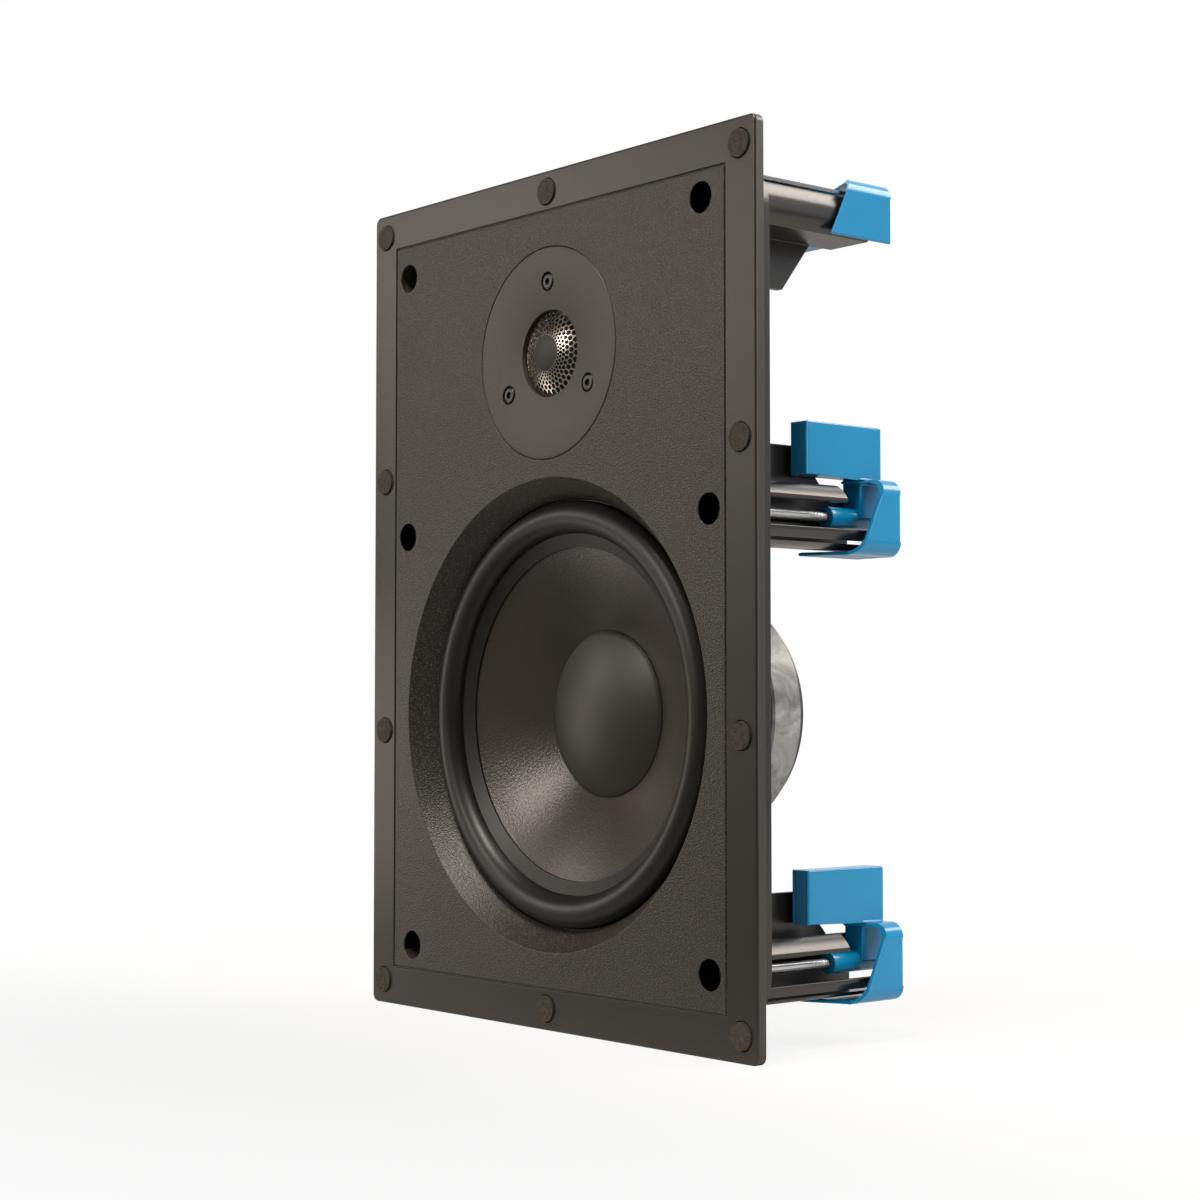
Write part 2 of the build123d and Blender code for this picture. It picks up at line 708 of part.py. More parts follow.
# Spider: corrugated cloth disc that centres the coil
with BuildPart() as spider:
    with BuildSketch(radius_depth_plane(woofer_z)):
        with BuildLine():
            front_y_line = spider_y - spider_thickness
            roll_start = coil_former_radius + spider_collar
            roll_width = (spider_roll_outer - roll_start) / spider_rolls
            Polyline((roll_start, front_y_line), (coil_former_radius, front_y_line),
                     (coil_former_radius, spider_y), (roll_start, spider_y))
            for roll in range(spider_rolls):
                left = roll_start + roll * roll_width
                side = -1 if roll % 2 else 1
                swell = side * roll_width / 3
                for line_y in (front_y_line, spider_y):
                    ThreePointArc((left, line_y), (left + roll_width / 2, line_y + swell),
                                  (left + roll_width, line_y))
            Polyline((spider_roll_outer, front_y_line), (spider_seat_radius, front_y_line),
                     (spider_seat_radius, spider_y), (spider_roll_outer, spider_y))
        make_face()
    revolve(axis=woofer_axis)
save(spider, "spider")

# Woofer motor: front plate, ferrite ring and T-shaped yoke with a vented pole
with BuildPart() as woofer_top_plate:
    turn([(motor_gap_radius, motor_front_y), (motor_plate_radius, motor_front_y),
          (motor_plate_radius, magnet_front_y), (motor_gap_radius, magnet_front_y)], woofer_z)
save(woofer_top_plate, "woofer_top_plate")

with BuildPart() as woofer_magnet:
    turn([(magnet_bore_radius, magnet_front_y), (magnet_radius, magnet_front_y),
          (magnet_radius, yoke_front_y), (magnet_bore_radius, yoke_front_y)], woofer_z)
    chamfer(woofer_magnet.faces().filter_by(GeomType.CYLINDER).sort_by(SortBy.AREA)[-1].edges(),
            length=magnet_bevel)
save(woofer_magnet, "woofer_magnet")

with BuildPart() as woofer_yoke:
    turn([(vent_radius, motor_front_y), (pole_radius, motor_front_y), (pole_radius, yoke_front_y),
          (motor_plate_radius, yoke_front_y),
          (motor_plate_radius, yoke_front_y + yoke_plate_thickness - yoke_bevel),
          (motor_plate_radius - yoke_bevel, yoke_front_y + yoke_plate_thickness),
          (vent_radius, yoke_front_y + yoke_plate_thickness)], woofer_z)
save(woofer_yoke, "woofer_yoke")

# Screws that hold the basket to the baffle from behind
woofer_screw_places = PolarLocations(woofer_bolt_radius, woofer_screws).local_locations
for number, place in enumerate(woofer_screw_places, start=1):
    spot = place.position
    with BuildPart() as woofer_screw:
        with BuildSketch(facing(basket_rim_rear_y, spot.X, woofer_z + spot.Y)):
            Circle(woofer_screw_head_radius)
        extrude(amount=-woofer_screw_head_height)
        fillet(woofer_screw.edges().sort_by(Axis.Y)[-1], radius=woofer_screw_head_height / 2)
        with BuildSketch(facing(basket_rim_rear_y, spot.X, woofer_z + spot.Y)):
            Circle(woofer_screw_radius)
        extrude(amount=woofer_screw_length)
        with BuildSketch(facing(basket_rim_rear_y + woofer_screw_head_height, spot.X,
                                woofer_z + spot.Y)):
            Rectangle(woofer_slot_length, cross_slot_width)
            Rectangle(cross_slot_width, woofer_slot_length)
        extrude(amount=woofer_screw_head_height / 2, mode=Mode.SUBTRACT)
    save(woofer_screw, f"woofer_screw_{number}")

# Strip with two solder tags at the rear rim of the basket
with BuildPart() as woofer_tag_strip:
    tag_z = woofer_z + rear_ring_radius
    with BuildSketch(facing(motor_front_y, z=tag_z)):
        Rectangle(tag_strip_width, tag_strip_height)
        with Locations((-tag_strip_width / 4, tag_strip_height / 2),
                       (tag_strip_width / 4, tag_strip_height / 2)):
            Rectangle(tag_width, tag_length, align=(Align.CENTER, Align.MIN))
    extrude(amount=-tag_strip_thickness)
    with BuildSketch(facing(motor_front_y, z=woofer_z)):
        Circle(motor_plate_radius + moving_gap)
    extrude(amount=-tag_strip_thickness, mode=Mode.SUBTRACT)
save(woofer_tag_strip, "woofer_tag_strip")

# Tweeter faceplate with a shallow dish, three sunk screw seats and a rear boss
with BuildPart() as tweeter_faceplate:
    suspension_y = tweeter_motor_y - suspension_thickness
    bevel = faceplate_edge_bevel
    dish_floor_y = front_y + dish_depth
    turn([(mesh_radius, dish_floor_y), (dish_radius, front_y), (faceplate_radius - bevel, front_y),
          (faceplate_radius, front_y + bevel), (faceplate_radius, plate_rear_y),
          (tweeter_boss_radius, plate_rear_y), (tweeter_boss_radius, suspension_y),
          (suspension_outer_radius + moving_gap, suspension_y),
          (mesh_radius, dish_floor_y + dish_floor_thickness)], tweeter_z)
    with BuildSketch(facing(front_y, z=tweeter_z)):
        with PolarLocations(tweeter_bolt_radius, 3, start_angle=90):
            Circle(tweeter_recess_radius)
    extrude(amount=-tweeter_recess_depth, mode=Mode.SUBTRACT)
    with BuildSketch(facing(front_y, z=tweeter_z)):
        with PolarLocations(tweeter_bolt_radius, 3, start_angle=90):
            Circle(tweeter_screw_radius + moving_gap)
    extrude(amount=-faceplate_thickness, mode=Mode.SUBTRACT)
save(tweeter_faceplate, "tweeter_faceplate")

# Pressed steel grille: a domed mesh whose holes grow ring by ring around a plain centre
mesh_rim_y = dish_floor_y + mesh_sink
sphere_radius = (mesh_radius**2 + mesh_rise**2) / (2 * mesh_rise)
sphere_centre_y = mesh_rim_y - mesh_rise + sphere_radius
apex_y = mesh_rim_y - mesh_rise
ring_growth = (mesh_last_ring / mesh_first_ring) ** (1 / (mesh_rings - 1))
with BuildPart() as tweeter_grille:
    with BuildSketch(facing(apex_y - 1, z=tweeter_z)):
        Circle(mesh_radius - mesh_fit)
        for ring in range(mesh_rings):
            ring_radius = mesh_first_ring * ring_growth**ring
            stagger = (ring % 2) * 180 / mesh_holes_in_ring
            with PolarLocations(ring_radius, mesh_holes_in_ring, start_angle=stagger):
                RegularPolygon(mesh_hole_share * ring_radius, 6, mode=Mode.SUBTRACT)
    extrude(amount=-(mesh_rise + 3))
    with Locations((0, sphere_centre_y, tweeter_z)):
        Sphere(sphere_radius, mode=Mode.INTERSECT)
        Sphere(sphere_radius - mesh_thickness, mode=Mode.SUBTRACT)
save(tweeter_grille, "tweeter_grille")

# Silk dome and its half-roll suspension
with BuildPart() as tweeter_dome:
    with BuildSketch(radius_depth_plane(tweeter_z)):
        with BuildLine():
            base_y = suspension_y
            top_y = base_y - tweeter_dome_rise
            curve = (tweeter_dome_radius**2 + tweeter_dome_rise**2) / (2 * tweeter_dome_rise)
            half = tweeter_dome_radius / 2
            half_y = top_y + curve - sqrt(curve**2 - half**2)
            Line((0, top_y), (0, top_y - tweeter_dome_thickness))
            ThreePointArc((0, top_y - tweeter_dome_thickness), (half, half_y - tweeter_dome_thickness),
                          (tweeter_dome_radius, base_y - tweeter_dome_thickness))
            Line((tweeter_dome_radius, base_y - tweeter_dome_thickness), (tweeter_dome_radius, base_y))
            ThreePointArc((tweeter_dome_radius, base_y), (half, half_y), (0, top_y))
        make_face()
    revolve(axis=tweeter_axis)
save(tweeter_dome, "tweeter_dome")

with BuildPart() as tweeter_suspension:
    with BuildSketch(radius_depth_plane(tweeter_z)):
        with BuildLine():
            middle = (tweeter_dome_radius + suspension_outer_radius) / 2
            rise = (suspension_outer_radius - tweeter_dome_radius) / 2
            rear = suspension_y + suspension_thickness
            ThreePointArc((tweeter_dome_radius, suspension_y), (middle, suspension_y - rise),
                          (suspension_outer_radius, suspension_y))
            Polyline((suspension_outer_radius, suspension_y), (suspension_flange_radius, suspension_y),
                     (suspension_flange_radius, rear),
                     (suspension_outer_radius - suspension_thickness, rear))
            ThreePointArc((suspension_outer_radius - suspension_thickness, rear),
                          (middle, rear - rise), (tweeter_dome_radius + suspension_thickness, rear))
            Polyline((tweeter_dome_radius + suspension_thickness, rear),
                     (tweeter_dome_radius, rear), (tweeter_dome_radius, suspension_y))
        make_face()
    revolve(axis=tweeter_axis)
save(tweeter_suspension, "tweeter_suspension")

with BuildPart() as tweeter_coil:
    with BuildSketch(facing(suspension_y, z=tweeter_z)):
        Circle(tweeter_dome_radius)
        Circle(tweeter_dome_radius - tweeter_coil_wall, mode=Mode.SUBTRACT)
    extrude(amount=-tweeter_coil_length)
save(tweeter_coil, "tweeter_coil")

with BuildPart() as tweeter_top_plate:
    with BuildSketch(facing(tweeter_motor_y, z=tweeter_z)):
        Circle(tweeter_plate_radius)
        Circle(tweeter_dome_radius + tweeter_gap, mode=Mode.SUBTRACT)
    extrude(amount=-tweeter_top_plate_thickness)
save(tweeter_top_plate, "tweeter_top_plate")

with BuildPart() as tweeter_magnet:
    with BuildSketch(facing(tweeter_magnet_y, z=tweeter_z)):
        Circle(tweeter_magnet_radius)
        Circle(tweeter_magnet_bore, mode=Mode.SUBTRACT)
    extrude(amount=-tweeter_magnet_thickness)
save(tweeter_magnet, "tweeter_magnet")

with BuildPart() as tweeter_yoke:
    turn([(0, tweeter_motor_y), (tweeter_pole_radius, tweeter_motor_y),
          (tweeter_pole_radius, tweeter_yoke_y),
          (tweeter_plate_radius, tweeter_yoke_y),
          (tweeter_plate_radius, tweeter_yoke_y + tweeter_yoke_thickness - tweeter_yoke_bevel),
          (tweeter_plate_radius - tweeter_yoke_bevel, tweeter_yoke_y + tweeter_yoke_thickness),
          (0, tweeter_yoke_y + tweeter_yoke_thickness)], tweeter_z)
save(tweeter_yoke, "tweeter_yoke")

tweeter_screw_places = PolarLocations(tweeter_bolt_radius, 3, start_angle=90).local_locations
for number, place in enumerate(tweeter_screw_places, start=1):
    spot = place.position
    seat_y = front_y + tweeter_recess_depth
    with BuildPart() as tweeter_screw:
        with BuildSketch(facing(seat_y - tweeter_screw_head_height, spot.X, tweeter_z + spot.Y)):
            Circle(tweeter_screw_head_radius)
        extrude(amount=-tweeter_screw_head_height)
        fillet(tweeter_screw.edges().sort_by(Axis.Y)[0], radius=tweeter_screw_head_height / 2)
        with BuildSketch(facing(seat_y, spot.X, tweeter_z + spot.Y)):
            Circle(tweeter_screw_radius)
        extrude(amount=-tweeter_screw_length)
        with BuildSketch(facing(seat_y - tweeter_screw_head_height, spot.X, tweeter_z + spot.Y)):
            RegularPolygon(hex_socket_radius, 6)
        extrude(amount=-hex_socket_depth, mode=Mode.SUBTRACT)
    save(tweeter_screw, f"tweeter_screw_{number}")

# Crossover: board, coil, capacitor, resistor and the terminals with their levers
with BuildPart() as crossover_board:
    with BuildSketch(facing(board_y, board_x, board_z)):
        RectangleRounded(board_width, board_height, board_corner_radius)
        with GridLocations(2 * standoff_x, 2 * standoff_z, 2, 2):
            Circle(board_screw_radius + pilot_gap, mode=Mode.SUBTRACT)
    extrude(amount=-board_thickness)
save(crossover_board, "crossover_board")

with BuildPart() as board_screws:
    with BuildSketch(facing(board_top_y, board_x, board_z)):
        with GridLocations(2 * standoff_x, 2 * standoff_z, 2, 2):
            Circle(board_screw_head_radius)
    extrude(amount=-board_screw_head_height)
    with BuildSketch(facing(board_top_y, board_x, board_z)):
        with GridLocations(2 * standoff_x, 2 * standoff_z, 2, 2):
            Circle(board_screw_radius)
    extrude(amount=board_screw_length)
save(board_screws, "board_screws")

inductor_x = board_x + inductor_shift_x
inductor_z = board_z + inductor_shift_z
with BuildPart() as inductor:
    with BuildSketch(facing(board_top_y, inductor_x, inductor_z)):
        Circle(inductor_radius)
        Circle(inductor_bore_radius, mode=Mode.SUBTRACT)
    extrude(amount=-inductor_height)
    fillet(inductor.edges().filter_by(GeomType.CIRCLE).group_by(Axis.Y)[-1],
           radius=inductor_edge_round)
save(inductor, "inductor")

capacitor_x = board_x + board_width / 2 - capacitor_radius - capacitor_edge_gap
with BuildPart() as capacitor:
    capacitor_plane = Plane(origin=(capacitor_x, board_top_y + capacitor_radius,
                                    board_z + capacitor_shift_z - capacitor_length / 2))
    with BuildSketch(capacitor_plane):
        Circle(capacitor_radius)
    extrude(amount=capacitor_length)
    fillet(capacitor.edges(), radius=capacitor_edge_round)
save(capacitor, "capacitor")

with BuildPart() as resistor:
    with BuildSketch(facing(board_top_y, board_x + resistor_shift_x, board_z + resistor_shift_z)):
        Rectangle(resistor_length, resistor_side)
    extrude(amount=-resistor_side)
    chamfer(resistor.edges(), length=resistor_bevel)
save(resistor, "resistor")

terminal_z = board_z - board_height / 2 + terminal_edge_gap
terminal_rear_y = board_top_y + terminal_depth
lever_top_z = terminal_z + terminal_height - lever_drop
with BuildPart() as terminal_block:
    with BuildSketch(facing(board_top_y, board_x, terminal_z)):
        Rectangle(terminal_width, terminal_height, align=(Align.CENTER, Align.MIN))
    extrude(amount=-terminal_depth)
    with BuildSketch(facing(terminal_rear_y, board_x, lever_top_z)):
        with Locations((-lever_spacing / 2, 0), (lever_spacing / 2, 0)):
            Rectangle(lever_width + 2 * moving_gap, 2 * terminal_height,
                      align=(Align.CENTER, Align.MAX))
    extrude(amount=lever_thickness + moving_gap, mode=Mode.SUBTRACT)
    wire_y = board_top_y + terminal_depth / 2 + wire_hole_shift
    wire_plane = Plane(origin=(board_x, wire_y, terminal_z), x_dir=(1, 0, 0), z_dir=(0, 0, -1))
    with BuildSketch(wire_plane):
        with Locations((-lever_spacing / 2, 0), (lever_spacing / 2, 0)):
            Circle(wire_hole_radius)
    extrude(amount=-wire_hole_length, mode=Mode.SUBTRACT)
save(terminal_block, "terminal_block")

for name, side in (("terminal_lever_red", -1), ("terminal_lever_black", 1)):
    lever_x = board_x + side * lever_spacing / 2
    pivot_y = terminal_rear_y - lever_thickness / 2
    pivot_z = lever_top_z - moving_gap - lever_thickness / 2
    with BuildPart() as terminal_lever:
        lever_plane = Plane(origin=(lever_x - lever_width / 2, pivot_y, pivot_z),
                            x_dir=(0, 1, 0), z_dir=(1, 0, 0))
        with BuildSketch(lever_plane):
            Circle(lever_thickness / 2)
            Rectangle(lever_thickness, lever_length, align=(Align.CENTER, Align.MAX))
        extrude(amount=lever_width)
    save(terminal_lever, name)
print("lever pivot", pivot_y, pivot_z, "travel", dog_travel)
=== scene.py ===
# %% [markdown]
# # An in-wall loudspeaker, dressed around its CAD frame
#
# The CAD model gives every piece its place and size. This script adds what the eye needs: moulded
# grain, rubber, polypropylene, felt, glossy nylon and steel, rounded edges, and the shapes that
# are too fine for the CAD, such as the perforated dome over the tweeter, the screw threads and the
# wound coil. Everything is in metres, with X to the right as seen from the front, Y into the wall
# and Z up.

# %% Load the frame
import bmesh
import bpy
import json
from math import cos, log, pi, radians, sin
from mathutils import Matrix, Vector


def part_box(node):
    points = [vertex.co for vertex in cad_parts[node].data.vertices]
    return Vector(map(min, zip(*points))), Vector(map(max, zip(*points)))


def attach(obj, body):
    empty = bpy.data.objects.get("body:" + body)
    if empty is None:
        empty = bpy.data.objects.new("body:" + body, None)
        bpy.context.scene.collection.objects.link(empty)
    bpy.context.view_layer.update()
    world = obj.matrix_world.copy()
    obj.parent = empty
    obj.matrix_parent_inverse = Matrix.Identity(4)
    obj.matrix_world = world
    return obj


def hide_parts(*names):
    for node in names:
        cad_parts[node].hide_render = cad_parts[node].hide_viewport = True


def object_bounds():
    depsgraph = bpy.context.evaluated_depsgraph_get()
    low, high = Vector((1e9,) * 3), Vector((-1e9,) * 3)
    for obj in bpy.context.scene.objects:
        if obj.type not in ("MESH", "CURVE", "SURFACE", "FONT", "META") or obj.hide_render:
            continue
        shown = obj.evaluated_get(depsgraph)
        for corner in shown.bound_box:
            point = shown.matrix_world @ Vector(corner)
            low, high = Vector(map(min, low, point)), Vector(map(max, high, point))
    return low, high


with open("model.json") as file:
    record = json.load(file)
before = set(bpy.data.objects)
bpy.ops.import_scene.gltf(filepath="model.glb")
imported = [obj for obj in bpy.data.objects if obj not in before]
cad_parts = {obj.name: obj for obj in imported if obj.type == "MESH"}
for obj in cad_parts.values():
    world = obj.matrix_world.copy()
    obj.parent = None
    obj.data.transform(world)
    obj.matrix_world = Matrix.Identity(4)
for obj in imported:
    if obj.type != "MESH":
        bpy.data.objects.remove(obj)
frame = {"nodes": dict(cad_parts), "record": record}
cad_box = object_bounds()
nodes = frame["nodes"]
record = frame["record"]
BODY_OF = {node: body for body, members in record["behaviour"]["bodies"].items()
           for node in members}
SLOT_OF = {part["node"]: part["material_slot"] for part in record["subparts"]}
scene = bpy.context.scene
MM = 0.001

# %% [markdown]
# ## The camera
#
# A long lens stands to the right of the object, a little below its middle, and looks slightly up.
# The place and the angles were found by fitting the flange's four corners and the round outlines
# of the drivers in the photograph, so the camera needs no shift.

# %% Camera
CAMERA_PLACE = Vector((0.66386, -0.53566, -0.03979))
CAMERA_YAW = 49.96
CAMERA_PITCH = 2.6
LENS_MM = 68.70
SENSOR_MM = 36.0

camera_data = bpy.data.cameras.new("camera")
camera_data.lens = LENS_MM
camera_data.sensor_width = SENSOR_MM
camera = bpy.data.objects.new("camera", camera_data)
camera.location = CAMERA_PLACE
camera.rotation_euler = (radians(90 + CAMERA_PITCH), 0, radians(CAMERA_YAW))
scene.collection.objects.link(camera)
scene.camera = camera
scene.view_settings.view_transform = "Standard"
print("camera", round(camera.location.length, 3), "m from the flange's centre")

# %% [markdown]
# ## Small helpers
#
# Colours are written as the hex values that a picture editor shows, and one function turns them
# into the linear numbers that the renderer works with. Another adds a node with its settings and
# links. The inputs come in a dictionary by name, or one after the other in the order of the
# sockets. That keeps every tree below to a few readable lines.

# %% Colours
def linear(code):
    """sRGB hex code to a linear RGBA colour."""
    channels = [int(code[i:i + 2], 16) / 255 for i in (1, 3, 5)]
    straight = [c / 12.92 if c <= 0.04045 else ((c + 0.055) / 1.055) ** 2.4 for c in channels]
    return (*straight, 1.0)


# %% Nodes, and short names for the kinds that come up often
MATH = "ShaderNodeMath"
VECTOR_MATH = "ShaderNodeVectorMath"
MAP_RANGE = "ShaderNodeMapRange"
MIX = "ShaderNodeMix"
NOISE = "ShaderNodeTexNoise"
BUMP = "ShaderNodeBump"
COORDINATES = "ShaderNodeTexCoord"
TO_XYZ = "ShaderNodeCombineXYZ"
FROM_XYZ = "ShaderNodeSeparateXYZ"


def plug(tree, node, inputs):
    """Set or link inputs: a node stands for its first output in use, a list for several links."""
    for socket, value in inputs.items():
        for source in value if isinstance(value, list) else [value]:
            if isinstance(source, bpy.types.Node):
                source = next(output for output in source.outputs if output.enabled)
            if isinstance(source, bpy.types.NodeSocket):
                tree.links.new(source, node.inputs[socket])
            else:
                node.inputs[socket].default_value = source


def add(tree, kind, *inputs, **settings):
    """Add a node, apply its settings, and set or link its inputs."""
    made = tree.nodes.new(kind)
    for key, value in settings.items():
        setattr(made, key, value)
    by_name = inputs and isinstance(inputs[0], dict)
    plug(tree, made, inputs[0] if by_name else dict(enumerate(inputs)))
    return made


# %% Measures of the CAD nodes
def family(start):
    """The CAD nodes whose names start alike, in order."""
    return sorted(node for node in nodes if node.startswith(start))


def middle(node):
    """The middle of a CAD node's box."""
    front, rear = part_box(node)
    return (front + rear) / 2


def half_width(node):
    """Half the width of a CAD node's box: the radius, where the piece is round."""
    front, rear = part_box(node)
    return (rear.x - front.x) / 2


# %% [markdown]
# ## Stage and light
#
# The photograph has a plain white background behind the speaker and a darker studio in front of it.
# The world is white to the camera and to reflections that look past the wall plane, and dim to
# reflections that look back at the studio. Soft boxes do the rest: one high in front draws the
# streak on the cone, one far left and a small card close by on the left make the sheen on the flat
# front, one overhead lights the lower left of the flare, and two on the right, one of them behind
# the wall plane, light the towers, the clamps and the magnet.

# %% World
WORLD_LIGHT = 0.32
STUDIO_GLOSS = 0.05
BACKDROP_FROM = -0.10
BACKDROP_TO = 0.45
WHITE = linear("#ffffff")

world = bpy.data.worlds.new("studio")
scene.world = world
world.use_nodes = True
tree = world.node_tree
tree.nodes.clear()
ray = add(tree, COORDINATES).outputs["Generated"]
facing = add(tree, VECTOR_MATH, ray, (0, 1, 0), operation="DOT_PRODUCT")
backdrop = add(tree, MAP_RANGE, {"Value": facing, "From Min": BACKDROP_FROM,
                                 "From Max": BACKDROP_TO, "To Min": STUDIO_GLOSS},
               interpolation_type="SMOOTHSTEP")
path = add(tree, "ShaderNodeLightPath").outputs
seen = add(tree, MATH, path["Is Camera Ray"], path["Is Transmission Ray"], operation="MAXIMUM")
gloss = add(tree, MIX, {"Factor": path["Is Glossy Ray"], "A": WORLD_LIGHT, "B": backdrop})
strength = add(tree, MIX, {"Factor": seen, "A": gloss, "B": 1.0})
sky = add(tree, "ShaderNodeBackground", {"Color": WHITE, "Strength": strength})
add(tree, "ShaderNodeOutputWorld", {"Surface": sky})
print("world nodes:", len(tree.nodes))

# %% Floor
FLOOR_SIZE = 40.0
half = FLOOR_SIZE / 2
floor_z = cad_box[0].z
floor_mesh = bpy.data.meshes.new("floor")
floor_mesh.from_pydata([(-half, -half, floor_z), (half, -half, floor_z), (half, half, floor_z),
                        (-half, half, floor_z)], [], [(0, 1, 2, 3)])
floor = bpy.data.objects.new("floor", floor_mesh)
scene.collection.objects.link(floor)
print("floor at", round(floor_z, 4), "m")

# %% Paper of the floor: white to the camera except for the object's shadow, and darker in front as painted shade
SHADOW_REACH = 0.55
SHADOW_SHARE = 0.16
FRONT_SHADE_FROM = -0.15
FRONT_SHADE_TO = 0.05
floor_paper = bpy.data.materials.new("white_floor")
floor_paper.use_nodes = True
tree = floor_paper.node_tree
tree.nodes.clear()
place = add(tree, COORDINATES).outputs["Object"]
level = add(tree, VECTOR_MATH, place, (1, 1, 0), operation="MULTIPLY")
distance = add(tree, VECTOR_MATH, level, operation="LENGTH")
shadow = add(tree, MAP_RANGE, {"Value": distance, "From Max": SHADOW_REACH,
                               "To Min": SHADOW_SHARE, "To Max": 0.0},
             interpolation_type="SMOOTHSTEP")
path = add(tree, "ShaderNodeLightPath").outputs
white = add(tree, MATH, path["Is Camera Ray"], shadow, operation="SUBTRACT")
# In front of the wall plane the paper turns grey: painted shade that stands for the unlit studio in
# front, which the speaker's front reflects
depth = add(tree, FROM_XYZ, place).outputs["Y"]
front_shade = add(tree, MAP_RANGE, {"Value": depth, "From Min": FRONT_SHADE_FROM, "From Max": FRONT_SHADE_TO},
            interpolation_type="SMOOTHSTEP")
paper = add(tree, MIX, {"Factor": front_shade, "A": linear("#6f6e6c"), "B": linear("#d8d8d6")},
            data_type="RGBA")
diffuse = add(tree, "ShaderNodeBsdfDiffuse", {"Color": paper})
glow = add(tree, "ShaderNodeEmission", {"Color": WHITE, "Strength": 1.0})
mixed = add(tree, "ShaderNodeMixShader", white, diffuse, glow)
add(tree, "ShaderNodeOutputMaterial", {"Surface": mixed})
floor_mesh.materials.append(floor_paper)
print("floor paper nodes:", len(tree.nodes))

# %% Soft boxes
LAMP_COLOUR = linear("#fff4e8")[:3]
SOFT_BOXES = {
    # name: (direction from the object, distance, width, height, watts)
    "key_box": (Vector((-0.28, -0.87, 0.40)), 1.5, 0.20, 0.28, 6.0),
    "edge_box": (Vector((-0.75, -0.61, 0.25)), 1.5, 0.40, 0.40, 2.9),
    "side_card": (Vector((-0.38, -0.20, -0.07)), 0.43, 0.14, 0.16, 0.17),
    "top_box": (Vector((0.18, -0.40, 0.90)), 1.3, 0.45, 0.35, 17.5),
    "right_box": (Vector((0.95, 0.15, 0.30)), 1.5, 0.50, 1.00, 9.0),
    "rear_box": (Vector((0.45, 0.62, 0.62)), 1.5, 0.90, 0.60, 17.0),
}
for name, (direction, reach, width, height, watts) in SOFT_BOXES.items():
    lamp_data = bpy.data.lights.new(name, "AREA")
    lamp_data.shape = "RECTANGLE"
    lamp_data.size = width
    lamp_data.size_y = height
    lamp_data.energy = watts
    lamp_data.color = LAMP_COLOUR
    lamp = bpy.data.objects.new(name, lamp_data)
    lamp.location = direction.normalized() * reach
    lamp.rotation_mode = "QUATERNION"
    lamp.rotation_quaternion = direction.to_track_quat("Z", "Y")
    lamp.visible_camera = False
    scene.collection.objects.link(lamp)
print("lamps:", ", ".join(SOFT_BOXES))

# %% [markdown]
# ## Moulded frame
#
# The frame is one moulding of black ABS. Its mould was spark-eroded on the baffle, which leaves a
# pebbled grain, polished smoother on the rim outside the fine groove, and left glossy on the parts
# behind the wall. One material holds all three: the place on the piece, read from its Object
# coordinates, decides which finish a point gets. The pebbles are drawn 0.6 mm apart, a little
# coarser than the real ones, so that they show from the camera's distance.

# %% Start a material
def new_material(name):
    """A material; returns it with its tree, its shader and its Object coordinates."""
    material = bpy.data.materials.new(name)
    material.use_nodes = True
    tree = material.node_tree
    print("material", name)
    return (material, tree, tree.nodes["Principled BSDF"],
            add(tree, COORDINATES).outputs["Object"])


# %% Masks of the moulded frame: rim, back and baffle
GROOVE_X = 97.3 * MM
GROOVE_Z = 144.8 * MM
BACK_FROM_Y = 7.2 * MM
moulded_abs, tree, shader, place = new_material("moulded_abs")
x, y, z = add(tree, FROM_XYZ, place).outputs
far_x = add(tree, MATH, x, operation="ABSOLUTE")
far_z = add(tree, MATH, z, operation="ABSOLUTE")
past_x = add(tree, MATH, far_x, GROOVE_X, operation="SUBTRACT")
past_z = add(tree, MATH, far_z, GROOVE_Z, operation="SUBTRACT")
past = add(tree, MATH, past_x, past_z, operation="MAXIMUM")
rim = add(tree, MATH, past, 0.0, operation="GREATER_THAN")
behind = add(tree, MATH, y, BACK_FROM_Y, operation="GREATER_THAN")
elsewhere = add(tree, MATH, rim, behind, operation="MAXIMUM")
baffle = add(tree, MATH, 1.0, elsewhere, operation="SUBTRACT")

# %% Mask of the screwdriver holes: unlit wells, whose walls get painted shade so that they read as black from the front
# The holes lie the same on both sides, so the distance from the middle tells all six from three
HOLE_WALL = 5.8 * MM
HOLE_FROM_Y = -3.6 * MM
FULL_SPECULAR = 0.5
near_hole = 0.0
for screw in family("clamp_screw_"):
    at = middle(screw)
    if at.x > 0:
        across = add(tree, MATH, far_x, at.x, operation="SUBTRACT")
        along = add(tree, MATH, z, at.z, operation="SUBTRACT")
        away = add(tree, VECTOR_MATH, add(tree, TO_XYZ, across, 0.0, along), operation="LENGTH")
        inside = add(tree, MATH, away, HOLE_WALL, operation="LESS_THAN")
        near_hole = add(tree, MATH, near_hole, inside, operation="MAXIMUM")
sunk = add(tree, MATH, y, HOLE_FROM_Y, operation="GREATER_THAN")
hole_shade = add(tree, MATH, near_hole, sunk, operation="MULTIPLY")
open_air = add(tree, MATH, 1.0, hole_shade, operation="SUBTRACT")
specular = add(tree, MATH, open_air, FULL_SPECULAR, operation="MULTIPLY")

# %% Grain of the moulded frame
GRAIN_MM = 0.6
FINE_GRAIN_MM = 0.35
FINE_SHARE = 0.3
GRAIN_RELIEF = 0.12 * MM
pebbles = add(tree, "ShaderNodeTexVoronoi", {"Vector": place, "Scale": 1 / (GRAIN_MM * MM),
                                             "Smoothness": 0.5}, feature="SMOOTH_F1")
fine = add(tree, NOISE, {"Vector": place, "Scale": 1 / (FINE_GRAIN_MM * MM), "Detail": 2.0})
on_baffle = add(tree, MATH, pebbles, baffle, operation="MULTIPLY")
relief = add(tree, MATH, fine, FINE_SHARE, on_baffle, operation="MULTIPLY_ADD")
bump = add(tree, BUMP, {"Height": relief, "Distance": GRAIN_RELIEF, "Strength": 1.0})
